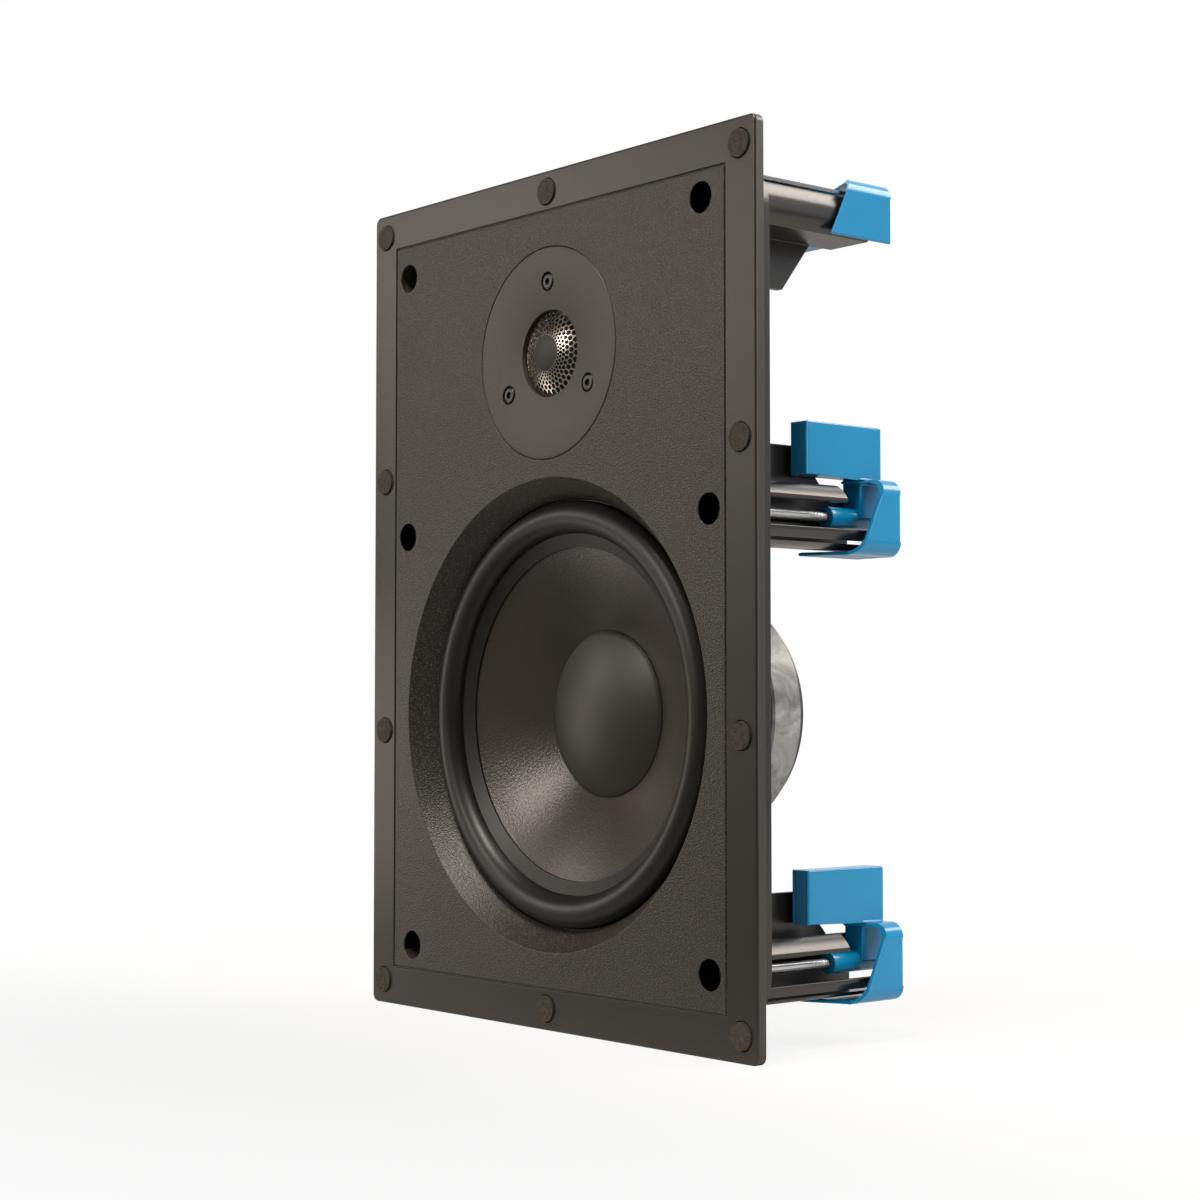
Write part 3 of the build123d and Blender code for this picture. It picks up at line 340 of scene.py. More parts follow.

# %% Tone and gloss of the moulded frame, with painted glints on the baffle
CLOUDS_PER_M = 28.0
GLINT_MM = 0.5
GLINT_FROM = 0.54
GLINT_TO = 0.68
GLINT_SHARE = 0.8
BAFFLE_ROUGHNESS = 0.42
clouds = add(tree, NOISE, {"Vector": place, "Scale": CLOUDS_PER_M, "Detail": 3.0})
ground = add(tree, MIX, {"Factor": clouds, "A": linear("#1c1916"), "B": linear("#23201c")},
             data_type="RGBA")
# The light specks on the baffle are painted highlights: they stand for the glints of light on the
# tops of the grain
glint_noise = add(tree, NOISE, {"Vector": place, "Scale": 1 / (GLINT_MM * MM), "Detail": 1.0})
share = add(tree, MAP_RANGE, {"Value": glint_noise, "From Min": GLINT_FROM, "From Max": GLINT_TO,
                              "To Max": GLINT_SHARE})
painted_glints = add(tree, MATH, share, baffle, operation="MULTIPLY")
tone = add(tree, MIX, {"Factor": painted_glints, "A": ground, "B": linear("#5c554c")}, data_type="RGBA")
rough = BAFFLE_ROUGHNESS
# The last of these is painted shade: the walls of the screwdriver holes are made near black, rough
# and without specular, as the wells are unlit
for mask, colour, roughness in ((rim, "#221f1b", 0.36), (behind, "#131313", 0.26),
                                (hole_shade, "#020202", 0.9)):
    tone = add(tree, MIX, {"Factor": mask, "A": tone, "B": linear(colour)}, data_type="RGBA")
    rough = add(tree, MIX, {"Factor": mask, "A": rough, "B": roughness})
plug(tree, shader, {"Base Color": tone, "Roughness": rough, "Specular IOR Level": specular,
                    "Normal": bump})
print("moulded frame's nodes:", len(tree.nodes))

# %% [markdown]
# ## Other finishes
#
# The tweeter's plate is the same plastic with a much finer grain, so it looks a little lighter.
# The cone and its dust cap are polypropylene: satin, with a leathery skin that breaks the sheen
# into speckles. The surround is butyl rubber, smoother and softer in its sheen. The clamp dogs are
# glossy blue nylon, and the screws, the magnet and the coil are bare or plated metal and ferrite.
# Where a real grain is finer than about half a millimetre, it is drawn about that coarse, or it
# wouldn't show in a picture of the whole speaker.

# %% A skin with one grain size, used for plastics, rubber, felt and cloth
GRAIN_DETAIL = 3.0
GRAIN_ROUGHNESS = 0.6


def skin(name, colours, roughness, grain_mm, relief_mm, clouds_mm=30.0, **sockets):
    """A skin with one grain size, one relief and a slow drift between two colours."""
    material, tree, shader, place = new_material(name)
    grain = add(tree, NOISE, {"Vector": place, "Scale": 1 / (grain_mm * MM),
                              "Detail": GRAIN_DETAIL, "Roughness": GRAIN_ROUGHNESS})
    relief = add(tree, BUMP, {"Height": grain, "Distance": relief_mm * MM, "Strength": 1.0})
    clouds = add(tree, NOISE, {"Vector": place, "Scale": 1 / (clouds_mm * MM),
                               "Detail": GRAIN_DETAIL})
    drift = add(tree, MIX, {"Factor": clouds, "A": linear(colours[0]), "B": linear(colours[1])},
                data_type="RGBA")
    plug(tree, shader, {"Base Color": drift, "Roughness": roughness, "Normal": relief})
    plug(tree, shader, {label.replace("_", " "): value for label, value in sockets.items()})
    return material


# %% Plastics, rubber, felt and cloth: colours, roughness, grain and relief in mm
finishes = {
    "frame_abs": moulded_abs,
    # Fine-grained black ABS: a little lighter than the frame because the fine grain scatters more
    "faceplate_abs": skin("fine_grain_abs", ("#2a2622", "#322d28"), 0.42, 0.55, 0.08),
    # Moulded butyl rubber: smooth and black, with a soft sheen along the roll
    "surround_rubber": skin("butyl_rubber", ("#0b0a0a", "#11100f"), 0.42, 0.6, 0.006),
    # Injection-moulded polypropylene: its leathery skin breaks the sheen into speckles
    "cone_polypropylene": skin("polypropylene", ("#2c2824", "#35302a"), 0.275, 1.0, 0.10),
    # The same plastic, polished in the mould: an even, broad sheen
    "dust_cap_polypropylene": skin("smooth_polypropylene", ("#1c1a17", "#24211d"), 0.42, 0.6,
                                   0.015),
    # Pressed wool felt: rough, with light fibres in a dark ground
    "pad_felt": skin("pressed_felt", ("#000000", "#4f4840"), 0.95, 0.6, 0.30, 1.3),
    # Nylon moulded against polished steel, dyed through and through: glossy and evenly blue
    "dog_blue": skin("blue_nylon", ("#0775a8", "#0a80b2"), 0.2, 5.0, 0.02, Coat_Weight=0.1,
                     Specular_IOR_Level=0.3),
    # Closed-cell foam, cut from sheet: matt and nearly black
    "gasket_foam": skin("closed_foam", ("#131313", "#1c1c1c"), 0.9, 0.4, 0.05),
    # Black powder coat on pressed steel: satin, with a faint orange peel
    "basket_steel": skin("powder_coat", ("#141414", "#1b1b1b"), 0.42, 0.5, 0.03),
    # Woven cotton dipped in phenolic resin: matt ochre with a fine weave
    "spider_cloth": skin("dipped_cotton", ("#8a6a33", "#a17c40"), 0.85, 0.45, 0.08),
    # Turned steel, passivated black: dark, with a dull sheen
    "motor_steel": skin("black_steel", ("#161616", "#202020"), 0.38, 0.6, 0.02),
    # Phenolic paper board, punched: brown and waxy
    "phenolic": skin("phenolic", ("#3a2416", "#4a2d1b"), 0.4, 0.5, 0.01),
    # Woven silk coated with a damping lacquer: dark and softly shiny
    "dome_silk": skin("coated_silk", ("#101010", "#171717"), 0.5, 0.25, 0.02),
    # Solder mask printed on glass laminate: glossy green
    "board_green": skin("solder_mask", ("#1a4a2a", "#215a34"), 0.3, 0.8, 0.01),
    # Polyester film wrapped round a capacitor: smooth and yellow
    "capacitor_sleeve": skin("wrapped_film", ("#c8b04a", "#d3bd5c"), 0.3, 2.0, 0.02),
    # Sand-filled ceramic body of a wire resistor: chalky and off-white
    "resistor_ceramic": skin("sand_cast_ceramic", ("#d8d5cc", "#e4e1d8"), 0.8, 0.5, 0.05),
    # Moulded plastics of the terminals: smooth, with a clear sheen
    "terminal_black": skin("moulded_terminal", ("#141414", "#1c1c1c"), 0.4, 0.5, 0.01),
    "lever_red": skin("red_plastic", ("#a51b1b", "#b52222"), 0.3, 1.0, 0.01),
    "lever_black": skin("black_plastic", ("#1a1a1a", "#222222"), 0.3, 1.0, 0.01),
    # Steel screws under a glossy black coat: dark, with small bright glints
    "screw_black": skin("black_coat", ("#050505", "#0c0b0b"), 0.36, 0.8, 0.01),
}
print("skins:", len(finishes))

# %% Metals, whose roughness drifts over small patches
SMOOTHER = 0.08
ROUGHER = 0.1
NICKEL = "#c4beb6"


def metal(name, colour, roughness, patch_mm):
    """A metal that is smoother here and rougher there, as plating and enamel leave it."""
    material, tree, shader, place = new_material(name)
    patches = add(tree, NOISE, {"Vector": place, "Scale": 1 / (patch_mm * MM), "Detail": 2.0})
    rough = add(tree, MAP_RANGE, {"Value": patches, "To Min": roughness - SMOOTHER,
                                  "To Max": roughness + ROUGHER})
    plug(tree, shader, {"Metallic": 1.0, "Base Color": linear(colour), "Roughness": rough})
    return material


# Zinc-plated steel: bright and slightly cloudy
finishes["screw_steel"] = metal("zinc_plate", "#b9bcc0", 0.32, 0.6)
# Copper wire under a clear enamel: warm, with sharp glints
finishes["coil_copper"] = metal("enamelled_copper", "#b5652e", 0.25, 0.5)
# Perforated steel, nickel plated: bright and a little warm
finishes["grille_steel"] = metal("plated_steel", NICKEL, 0.26, 2.5)

# %% A dark, satin centre on the tweeter's dome, not metal
DARK_CENTRE_RADIUS = 6.8 * MM
DARK_CENTRE_EDGE = 0.2 * MM
DARK_CENTRE_ROUGHNESS = 0.5
tree = finishes["grille_steel"].node_tree
shader = tree.nodes["Principled BSDF"]
polish = shader.inputs["Roughness"].links[0].from_socket
at = middle("tweeter_grille")
place = add(tree, COORDINATES).outputs["Object"]
from_axis = add(tree, VECTOR_MATH, place, (at.x, 0, at.z), operation="SUBTRACT")
flat = add(tree, VECTOR_MATH, from_axis, (1, 0, 1), operation="MULTIPLY")
away = add(tree, VECTOR_MATH, flat, operation="LENGTH")
# Out to this radius the dome is dark, satin and not metallic; past it, the nickel shows
bare = add(tree, MAP_RANGE, {"Value": away, "From Min": DARK_CENTRE_RADIUS,
                             "From Max": DARK_CENTRE_RADIUS + DARK_CENTRE_EDGE})
tone = add(tree, MIX, {"Factor": bare, "A": linear("#161514"), "B": linear(NICKEL)},
           data_type="RGBA")
rough = add(tree, MIX, {"Factor": bare, "A": DARK_CENTRE_ROUGHNESS, "B": polish})
plug(tree, shader, {"Base Color": tone, "Roughness": rough, "Metallic": bare})
print("painted out to", round(DARK_CENTRE_RADIUS / MM, 1), "mm")

# %% Ferrite: a ground grey ceramic, mottled and veined like slate
MOTTLES_PER_M = 60.0
PITS_PER_M = 400.0
PIT_DEPTH = 0.06 * MM
GREYS = ((0.38, "#5c5e5f"), (0.62, "#94979a"))
ferrite, tree, shader, place = new_material("ground_ferrite")
mottle = add(tree, NOISE, {"Vector": place, "Scale": MOTTLES_PER_M, "Detail": 6.0,
                           "Roughness": 0.65, "Distortion": 1.2})
grey = add(tree, "ShaderNodeValToRGB", {"Fac": mottle})
for stop, (position, colour) in enumerate(GREYS):
    grey.color_ramp.elements[stop].position = position
    grey.color_ramp.elements[stop].color = linear(colour)
pits = add(tree, NOISE, {"Vector": place, "Scale": PITS_PER_M, "Detail": 3.0})
relief = add(tree, BUMP, {"Height": pits, "Distance": PIT_DEPTH})
plug(tree, shader, {"Base Color": grey, "Roughness": 0.42, "Normal": relief})
finishes["ferrite"] = ferrite

# %% Give every CAD node its finish
for node, slot in SLOT_OF.items():
    nodes[node].data.materials.clear()
    nodes[node].data.materials.append(finishes[slot])
print("finishes:", len(finishes))

# %% [markdown]
# ## Taking the place of CAD nodes
#
# A finished piece takes the body, the material slot and the place of the CAD nodes that it stands
# for. The next helper does that in one call for all pieces below.

# %% Put a finished mesh in the scene
def settle(name, mesh, *stands_for):
    """Show a mesh instead of the CAD nodes that it stands for."""
    slot = SLOT_OF[stands_for[0]]
    piece = bpy.data.objects.new(name, mesh)
    scene.collection.objects.link(piece)
    mesh.materials.clear()
    mesh.materials.append(finishes[slot])
    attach(piece, BODY_OF[stands_for[0]])
    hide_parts(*stands_for)
    print(name, "faces", len(mesh.polygons))
    return piece


# %% [markdown]
# ## Rounded edges
#
# Nothing that comes out of a mould has knife edges: each edge catches a thin line of light. The
# CAD keeps most edges sharp to stay light, so the moulded pieces get copies here whose triangles
# are welded and paired into quads, and whose sharp edges are then rounded with a bevel. Each corner
# takes its normal from the faces around it, and the largest one counts most. That keeps the flats
# flat while the narrow rounds shade smoothly.

# %% Weld a CAD node and set its corner normals; the angles are in degrees
MERGE = 1e-6
FLAT_WITHIN = 1.0
SQUARE_WITHIN = 60.0
SHADE_SHARP_FROM = 50.0


def welded(node):
    """A CAD node's loose triangles as one closed mesh, paired into quads where they are flat."""
    shape = bmesh.new()
    shape.from_mesh(nodes[node].data)
    bmesh.ops.remove_doubles(shape, verts=shape.verts, dist=MERGE)
    bmesh.ops.join_triangles(shape, faces=shape.faces, angle_face_threshold=radians(FLAT_WITHIN),
                             angle_shape_threshold=radians(SQUARE_WITHIN))
    return shape


def smooth_flats(name, shape):
    """Turn a bmesh into a mesh whose large faces set the normals of the corners they share."""
    widest = cos(radians(SHADE_SHARP_FROM))
    shape.normal_update()
    corners = []
    for face in shape.faces:
        for loop in face.loops:
            blend = Vector()
            for other in loop.vert.link_faces:
                if other.normal.dot(face.normal) > widest:
                    blend += other.normal * other.calc_area() ** 2
            corners.append(blend.normalized() if blend.length > 0 else face.normal.copy())
    mesh = bpy.data.meshes.new(name)
    shape.to_mesh(mesh)
    shape.free()
    mesh.shade_smooth()
    mesh.normals_split_custom_set(corners)
    return mesh


# %% Round a piece's sharp edges
SHARP_FROM = 28.0


def softened(node, radius, keep=None):
    """Show a CAD node with rounded edges; keep(edge) tells which edges stay sharp."""
    shape = welded(node)
    crisp = [edge for edge in shape.edges if len(edge.link_faces) == 2
             and edge.calc_face_angle() > radians(SHARP_FROM) and not (keep and keep(edge))]
    bmesh.ops.bevel(shape, geom=crisp, offset=radius, segments=2, profile=0.5,
                    affect="EDGES", clamp_overlap=False, loop_slide=False)
    bmesh.ops.triangulate(shape, faces=shape.faces)
    return settle(node + "_rounded", smooth_flats(node + "_rounded", shape), node)


# %% Frame
FRAME_ROUND = 0.3 * MM
softened("frame", FRAME_ROUND)

# %% Clamp dogs, whose toothed face stays crisp
DOG_ROUND = 0.7 * MM
TOOTH_ZONE = 1.0 * MM
tooth_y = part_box("clamp_dog_top_right")[0].y + TOOTH_ZONE


def is_tooth(edge):
    """True for the edges of the teeth at the block's front, and for edges too short to round."""
    at_front = all(vert.co.y < tooth_y for vert in edge.verts)
    return at_front or edge.calc_length() < 2 * DOG_ROUND


for node in family("clamp_dog_"):
    softened(node, DOG_ROUND, is_tooth)

# %% [markdown]
# ## Turned pieces
#
# The surround, the cone and the dust cap are bodies of revolution. Their sections are short lists
# of radius and depth worked out from the CAD pieces' boxes, with each curve made by a formula, and
# one helper turns a section about the woofer's axis with enough steps for a smooth outline.

# %% Turn a closed section about an axis along Y
TURN_STEPS = 192
TURNED_SHARP_FROM = 32


def shaded(mesh, sharp_from):
    """Shade a mesh smoothly, with the edges past an angle in degrees kept sharp."""
    mesh.shade_smooth()
    mesh.set_sharp_from_angle(angle=radians(sharp_from))
    return mesh


def turned_mesh(name, section, centre_z):
    """A closed section of (radius, depth) points, in metres, turned about the axis at centre_z."""
    shape = bmesh.new()
    ring = [shape.verts.new((radius, depth, 0.0)) for radius, depth in section]
    closed = [shape.edges.new((ring[i], ring[(i + 1) % len(ring)])) for i in range(len(ring))]
    bmesh.ops.spin(shape, geom=ring + closed, cent=(0, 0, 0), axis=(0, 1, 0), angle=2 * pi,
                   steps=TURN_STEPS, use_merge=True)
    bmesh.ops.remove_doubles(shape, verts=shape.verts, dist=MERGE)
    bmesh.ops.recalc_face_normals(shape, faces=shape.faces)
    bmesh.ops.translate(shape, verts=shape.verts, vec=(0, 0, centre_z))
    mesh = bpy.data.meshes.new(name)
    shape.to_mesh(mesh)
    shape.free()
    return shaded(mesh, TURNED_SHARP_FROM)


def arc(start, peak, end, steps):
    """Points along the circle through three (radius, depth) points, both ends included."""
    (ax, ay), (bx, by), (cx, cy) = start, peak, end
    d = 2 * (ax * (by - cy) + bx * (cy - ay) + cx * (ay - by))
    ux = ((ax**2 + ay**2) * (by - cy) + (bx**2 + by**2) * (cy - ay)
          + (cx**2 + cy**2) * (ay - by)) / d
    uy = ((ax**2 + ay**2) * (cx - bx) + (bx**2 + by**2) * (ax - cx)
          + (cx**2 + cy**2) * (bx - ax)) / d
    centre = Vector((ux, uy))
    first, second, third = (Vector(point) - centre for point in (start, peak, end))
    turn = first.angle_signed(second) + second.angle_signed(third)
    return [tuple(centre + Matrix.Rotation(-turn * i / steps, 2) @ first)
            for i in range(steps + 1)]


# %% Sizes of the woofer's moving pieces, from the CAD boxes
COIL_WINDING = 0.8 * MM
LIP_RADIUS = 62.6 * MM
LIP_DROP = 2.3 * MM
woofer_z = middle("cone").z
cone_front, cone_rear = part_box("cone")
cap_front, cap_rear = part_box("dust_cap")
cone_outer = half_width("cone")
cap_radius = half_width("dust_cap")
neck_radius = half_width("voice_coil") - COIL_WINDING
cone_rim_y = cone_front.y
lip_y = cone_rim_y + LIP_DROP
seat_y = cap_rear.y
print("cone", round(cone_outer / MM, 1), "mm and cap", round(cap_radius / MM, 1), "mm in radius")

# %% Cone
CONE_THICKNESS = 0.9 * MM
CONE_STEPS = 24
front_line = arc((LIP_RADIUS, lip_y), (cap_radius, seat_y),
                 (neck_radius, cone_rear.y - CONE_THICKNESS), CONE_STEPS)
rear_line = [(radius, depth + CONE_THICKNESS) for radius, depth in reversed(front_line)]
cone_section = ([(cone_outer, cone_rim_y)] + front_line + rear_line
                + [(cone_outer, cone_rim_y + CONE_THICKNESS)])
settle("cone_shell", turned_mesh("cone_shell", cone_section, woofer_z), "cone")

# %% Dust cap
CAP_THICKNESS = 0.7 * MM
CAP_ROUND = 0.35 * MM
CAP_STEPS = 20
MIDWAY = 0.55
cap_edge_y = seat_y - CAP_THICKNESS
cap_line = arc((0.0, cap_front.y),
               (cap_radius * MIDWAY, cap_front.y + MIDWAY**2 * (cap_edge_y - cap_front.y)),
               (cap_radius - CAP_ROUND, cap_edge_y), CAP_STEPS)
cap_rim = [(cap_radius, cap_edge_y + CAP_ROUND), (cap_radius, seat_y)]
cap_back = [(radius, depth + CAP_THICKNESS) for radius, depth in reversed(cap_line[:-2])]
cap_section = cap_line + cap_rim + cap_back
settle("dust_cap_shell", turned_mesh("dust_cap_shell", cap_section, woofer_z), "dust_cap")

# %% Surround: a half roll between its outer lip on the basket and its inner lip on the cone
ROLL_OUTER = 80.0 * MM
ROLL_RISE = 6.2 * MM
ROLL_STEPS = 24
RUBBER = 0.8 * MM
lip_outer = half_width("surround")
lip_front = cone_rim_y - RUBBER
roll_centre = (ROLL_OUTER + cone_outer) / 2
roll_half = (ROLL_OUTER - cone_outer) / 2
swing = [pi * i / ROLL_STEPS for i in range(ROLL_STEPS + 1)]
outer_roll = [(roll_centre + roll_half * cos(a), lip_front - ROLL_RISE * sin(a)) for a in swing]
inner_roll = [(roll_centre - (roll_half - RUBBER) * cos(a), cone_rim_y - ROLL_RISE * sin(a))
              for a in swing]
roll_section = ([(lip_outer, cone_rim_y), (lip_outer, lip_front)] + outer_roll
                + [(LIP_RADIUS, lip_y - RUBBER), (LIP_RADIUS, lip_y), (cone_outer, cone_rim_y)]
                + inner_roll)
settle("surround_roll", turned_mesh("surround_roll", roll_section, woofer_z), "surround")

# %% [markdown]
# ## Tweeter plate
#
# The plate is a shallow horn: its front falls slowly from the rim and faster near the dome, which
# gives the soft shade around the dome. The CAD plate has a flat ring and a straight dish instead.
# The front line follows a power of the distance from the rim and ends in a short straight wall,
# whose shadow is the dark ring round the dome. Three seats for the screws are cut with a Boolean
# modifier.

# %% Section of the tweeter plate
HORN_THROAT = 16.4 * MM
HORN_DEPTH = 1.5 * MM
THROAT_DEPTH = 2.8 * MM
THROAT_LIP = 1.2 * MM
HORN_START = 38.5 * MM
HORN_POWER = 1.9
HORN_STEPS = 28
PLATE_THICKNESS = 3.0 * MM
EDGE_ROUND = 0.4 * MM
EDGE_STEPS = 4
BOSS_RADIUS = 22.8 * MM
BOSS_BORE = 16.9 * MM
plate_radius = half_width("tweeter_faceplate")
plate_front, plate_rear = (corner.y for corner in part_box("tweeter_faceplate"))
plate_back = plate_front + PLATE_THICKNESS
tweeter_z = middle("tweeter_faceplate").z
horn = []
for step in range(HORN_STEPS + 1):
    radius = HORN_THROAT + (HORN_START - HORN_THROAT) * step / HORN_STEPS
    fall = ((HORN_START - radius) / (HORN_START - HORN_THROAT)) ** HORN_POWER
    horn.append((radius, plate_front + HORN_DEPTH * fall))
quarter = [pi / 2 * i / EDGE_STEPS for i in range(EDGE_STEPS + 1)]
edge = [(plate_radius - EDGE_ROUND + EDGE_ROUND * sin(a),
         plate_front + EDGE_ROUND - EDGE_ROUND * cos(a)) for a in quarter]
plate_section = horn + edge + [(plate_radius, plate_back), (BOSS_RADIUS, plate_back),
                               (BOSS_RADIUS, plate_rear), (BOSS_BORE, plate_rear),
                               (HORN_THROAT, plate_front + THROAT_DEPTH + THROAT_LIP)]
print("plate section points:", len(plate_section))

# %% Cut the three screw seats and show the plate
SEAT_RADIUS = 3.7 * MM
SEAT_DEPTH = 1.9 * MM
SEAT_SIDES = 48
LIE_DOWN = Matrix.Rotation(radians(90), 4, "X")
cutter_shape = bmesh.new()
for screw in family("tweeter_screw_"):
    at = middle(screw)
    bmesh.ops.create_cone(cutter_shape, cap_ends=True, segments=SEAT_SIDES,
                          radius1=SEAT_RADIUS, radius2=SEAT_RADIUS, depth=2 * SEAT_DEPTH,
                          matrix=Matrix.Translation((at.x, plate_front, at.z)) @ LIE_DOWN)
cutter_mesh = bpy.data.meshes.new("screw_seats")
cutter_shape.to_mesh(cutter_mesh)
cutter_shape.free()
cutter = bpy.data.objects.new("screw_seats", cutter_mesh)
blank = bpy.data.objects.new("plate_blank", turned_mesh("plate_blank", plate_section, tweeter_z))
for piece in (cutter, blank):
    scene.collection.objects.link(piece)
cut = blank.modifiers.new("seats", "BOOLEAN")
cut.operation = "DIFFERENCE"
cut.object = cutter
graph = bpy.context.evaluated_depsgraph_get()
plate_mesh = bpy.data.meshes.new_from_object(blank.evaluated_get(graph))
for piece in (cutter, blank):
    bpy.data.objects.remove(piece)
settle("tweeter_plate", shaded(plate_mesh, TURNED_SHARP_FROM), "tweeter_faceplate")

# %% [markdown]
# ## Geometry Nodes
#
# What repeats is grown by Geometry Nodes: the holes of the tweeter's dome, the threads of the clamp
# screws, the felt pads and the turns of the coil. Each tree has named inputs for its sizes. The
# first helper starts a tree, and the second runs it on a mesh and returns the plain mesh that it
# makes, so no modifier stays on a finished piece.

# %% Start a tree, end it and run it
SET_POSITION = "GeometryNodeSetPosition"
TRANSFORM = "GeometryNodeTransform"
JOIN = "GeometryNodeJoinGeometry"
GRID = "GeometryNodeMeshGrid"
CIRCLE = "GeometryNodeCurvePrimitiveCircle"
SWEEP = "GeometryNodeCurveToMesh"
REALIZE = "GeometryNodeRealizeInstances"
INSTANCES = "GeometryNodeInstanceOnPoints"


def new_tree(name, **sizes):
    """A Geometry Nodes tree with named inputs; returns it with its input node and output node."""
    tree = bpy.data.node_groups.new(name, "GeometryNodeTree")
    tree.interface.new_socket("Geometry", in_out="OUTPUT", socket_type="NodeSocketGeometry")
    tree.interface.new_socket("Geometry", in_out="INPUT", socket_type="NodeSocketGeometry")
    for label, value in sizes.items():
        kind = "NodeSocketInt" if isinstance(value, int) else "NodeSocketFloat"
        socket = tree.interface.new_socket(label.replace("_", " "), in_out="INPUT",
                                           socket_type=kind)
        socket.default_value = value
    print("tree", name, "with inputs", ", ".join(sizes))
    return tree, tree.nodes.new("NodeGroupInput").outputs, tree.nodes.new("NodeGroupOutput")


def finish_tree(tree, result, geometry, slot):
    """End a tree in Realize Instances and Set Material."""
    real = add(tree, REALIZE, geometry)
    plug(tree, result, {0: add(tree, "GeometryNodeSetMaterial", {"Geometry": real,
                                                                 "Material": finishes[slot]})})


def grown(name, tree, base=None, **sizes):
    """Run a tree on a mesh, with some inputs set by name, and return the plain mesh it makes."""
    carrier = bpy.data.objects.new(name, base or bpy.data.meshes.new(name))
    scene.collection.objects.link(carrier)
    modifier = carrier.modifiers.new("grow", "NODES")
    modifier.node_group = tree
    for socket in tree.interface.items_tree:
        if socket.in_out == "INPUT" and socket.name.replace(" ", "_") in sizes:
            modifier[socket.identifier] = sizes[socket.name.replace(" ", "_")]
    carrier.update_tag()
    graph = bpy.context.evaluated_depsgraph_get()
    mesh = bpy.data.meshes.new_from_object(carrier.evaluated_get(graph))
    bpy.data.objects.remove(carrier)
    return mesh


# %% [markdown]
# ## Perforated dome over the tweeter
#
# The dome is a steel cap pressed from a perforated blank: a plain centre, then six rings of round
# holes with the same number in each, so the holes grow with the radius and stand in spirals. The
# trick is to draw the sheet unrolled: one square cell with a round hole, set out on a grid of holes
# by rings with every other row shifted by half a cell. A formula then bends the grid into place:
# along the row it is an angle, and across the rows the radius grows by the same factor each time,
# which keeps the holes round.

# %% Sizes of the perforated dome
HOLES_PER_RING = 36
RINGS = 6
RING_GROWTH = 1.145
HOLE_SHARE = 0.405
SOLID_RADIUS = 6.9 * MM
SHEET = 0.5 * MM
grille_front, grille_rear = (corner.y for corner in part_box("tweeter_grille"))
rim_radius = half_width("tweeter_grille")
dome_rise = grille_rear - grille_front - SHEET
dome_radius = (rim_radius**2 + dome_rise**2) / (2 * dome_rise)
row_stretch = 2 * pi / HOLES_PER_RING / log(RING_GROWTH)
rim_rows = log(rim_radius / SOLID_RADIUS) / log(RING_GROWTH) - RINGS
print("dome radius", round(dome_radius / MM, 1), "mm, holes", HOLES_PER_RING * RINGS)

# %% One cell with its hole, set out in staggered rows
HOLE_SIDES = 12
tree, given, result = new_tree("perforated_dome", holes_per_ring=HOLES_PER_RING, rings=RINGS,
                               ring_growth=RING_GROWTH, hole_share=HOLE_SHARE,
                               row_stretch=row_stretch, solid_radius=SOLID_RADIUS,
                               rim_rows=rim_rows, dome_radius=dome_radius,
                               front_y=grille_front, centre_z=tweeter_z, sheet_thickness=SHEET)
square = add(tree, "GeometryNodeCurvePrimitiveQuadrilateral", {"Width": 1.0, "Height": 1.0})
corners = add(tree, "GeometryNodeSubdivideCurve", {"Curve": square, "Cuts": 1})
circle = add(tree, CIRCLE, {"Resolution": HOLE_SIDES, "Radius": given["hole share"]})
stretch = add(tree, TO_XYZ, 1.0, given["row stretch"], 1.0)
oval = add(tree, TRANSFORM, {"Geometry": circle, "Scale": stretch})
cell = add(tree, "GeometryNodeFillCurve", {"Curve": add(tree, JOIN, [corners, oval])})

columns_less = add(tree, MATH, given["holes per ring"], 1.0, operation="SUBTRACT")
rows_less = add(tree, MATH, given["rings"], 1.0, operation="SUBTRACT")
lattice = add(tree, GRID, columns_less, rows_less, given["holes per ring"], given["rings"])
to_right = add(tree, MATH, columns_less, 2.0, operation="DIVIDE")
to_top = add(tree, MATH, rows_less, 0.5, 0.5, operation="MULTIPLY_ADD")
rows = add(tree, TRANSFORM, {"Geometry": lattice,
                             "Translation": add(tree, TO_XYZ, to_right, to_top)})
spot = add(tree, FROM_XYZ, add(tree, "GeometryNodeInputPosition")).outputs
row = add(tree, MATH, spot["Y"], operation="FLOOR")
odd = add(tree, MATH, row, 2.0, operation="MODULO")
shift = add(tree, TO_XYZ, add(tree, MATH, odd, 0.5, operation="MULTIPLY"))
staggered = add(tree, SET_POSITION, {"Geometry": rows, "Offset": shift})
cells = add(tree, INSTANCES, {"Points": staggered, "Instance": cell})
real_cells = add(tree, REALIZE, cells)

# %% A plain centre and a plain rim join the cells
CENTRE_ROWS = 7
columns = add(tree, MATH, given["holes per ring"], 2.0, 1.0, operation="MULTIPLY_ADD")
halfway = add(tree, MATH, given["holes per ring"], 0.5, operation="MULTIPLY")
centre_sheet = add(tree, GRID, given["holes per ring"], 1.0, columns, CENTRE_ROWS)
centre_place = add(tree, TRANSFORM, {"Geometry": centre_sheet,
                                     "Translation": add(tree, TO_XYZ, halfway, -0.5)})
rim_sheet = add(tree, GRID, given["holes per ring"], given["rim rows"], columns, 2)
rim_middle = add(tree, MATH, given["rim rows"], 0.5, given["rings"], operation="MULTIPLY_ADD")
rim_place = add(tree, TRANSFORM, {"Geometry": rim_sheet,
                                  "Translation": add(tree, TO_XYZ, halfway, rim_middle)})
unrolled = add(tree, JOIN, [real_cells, centre_place, rim_place])

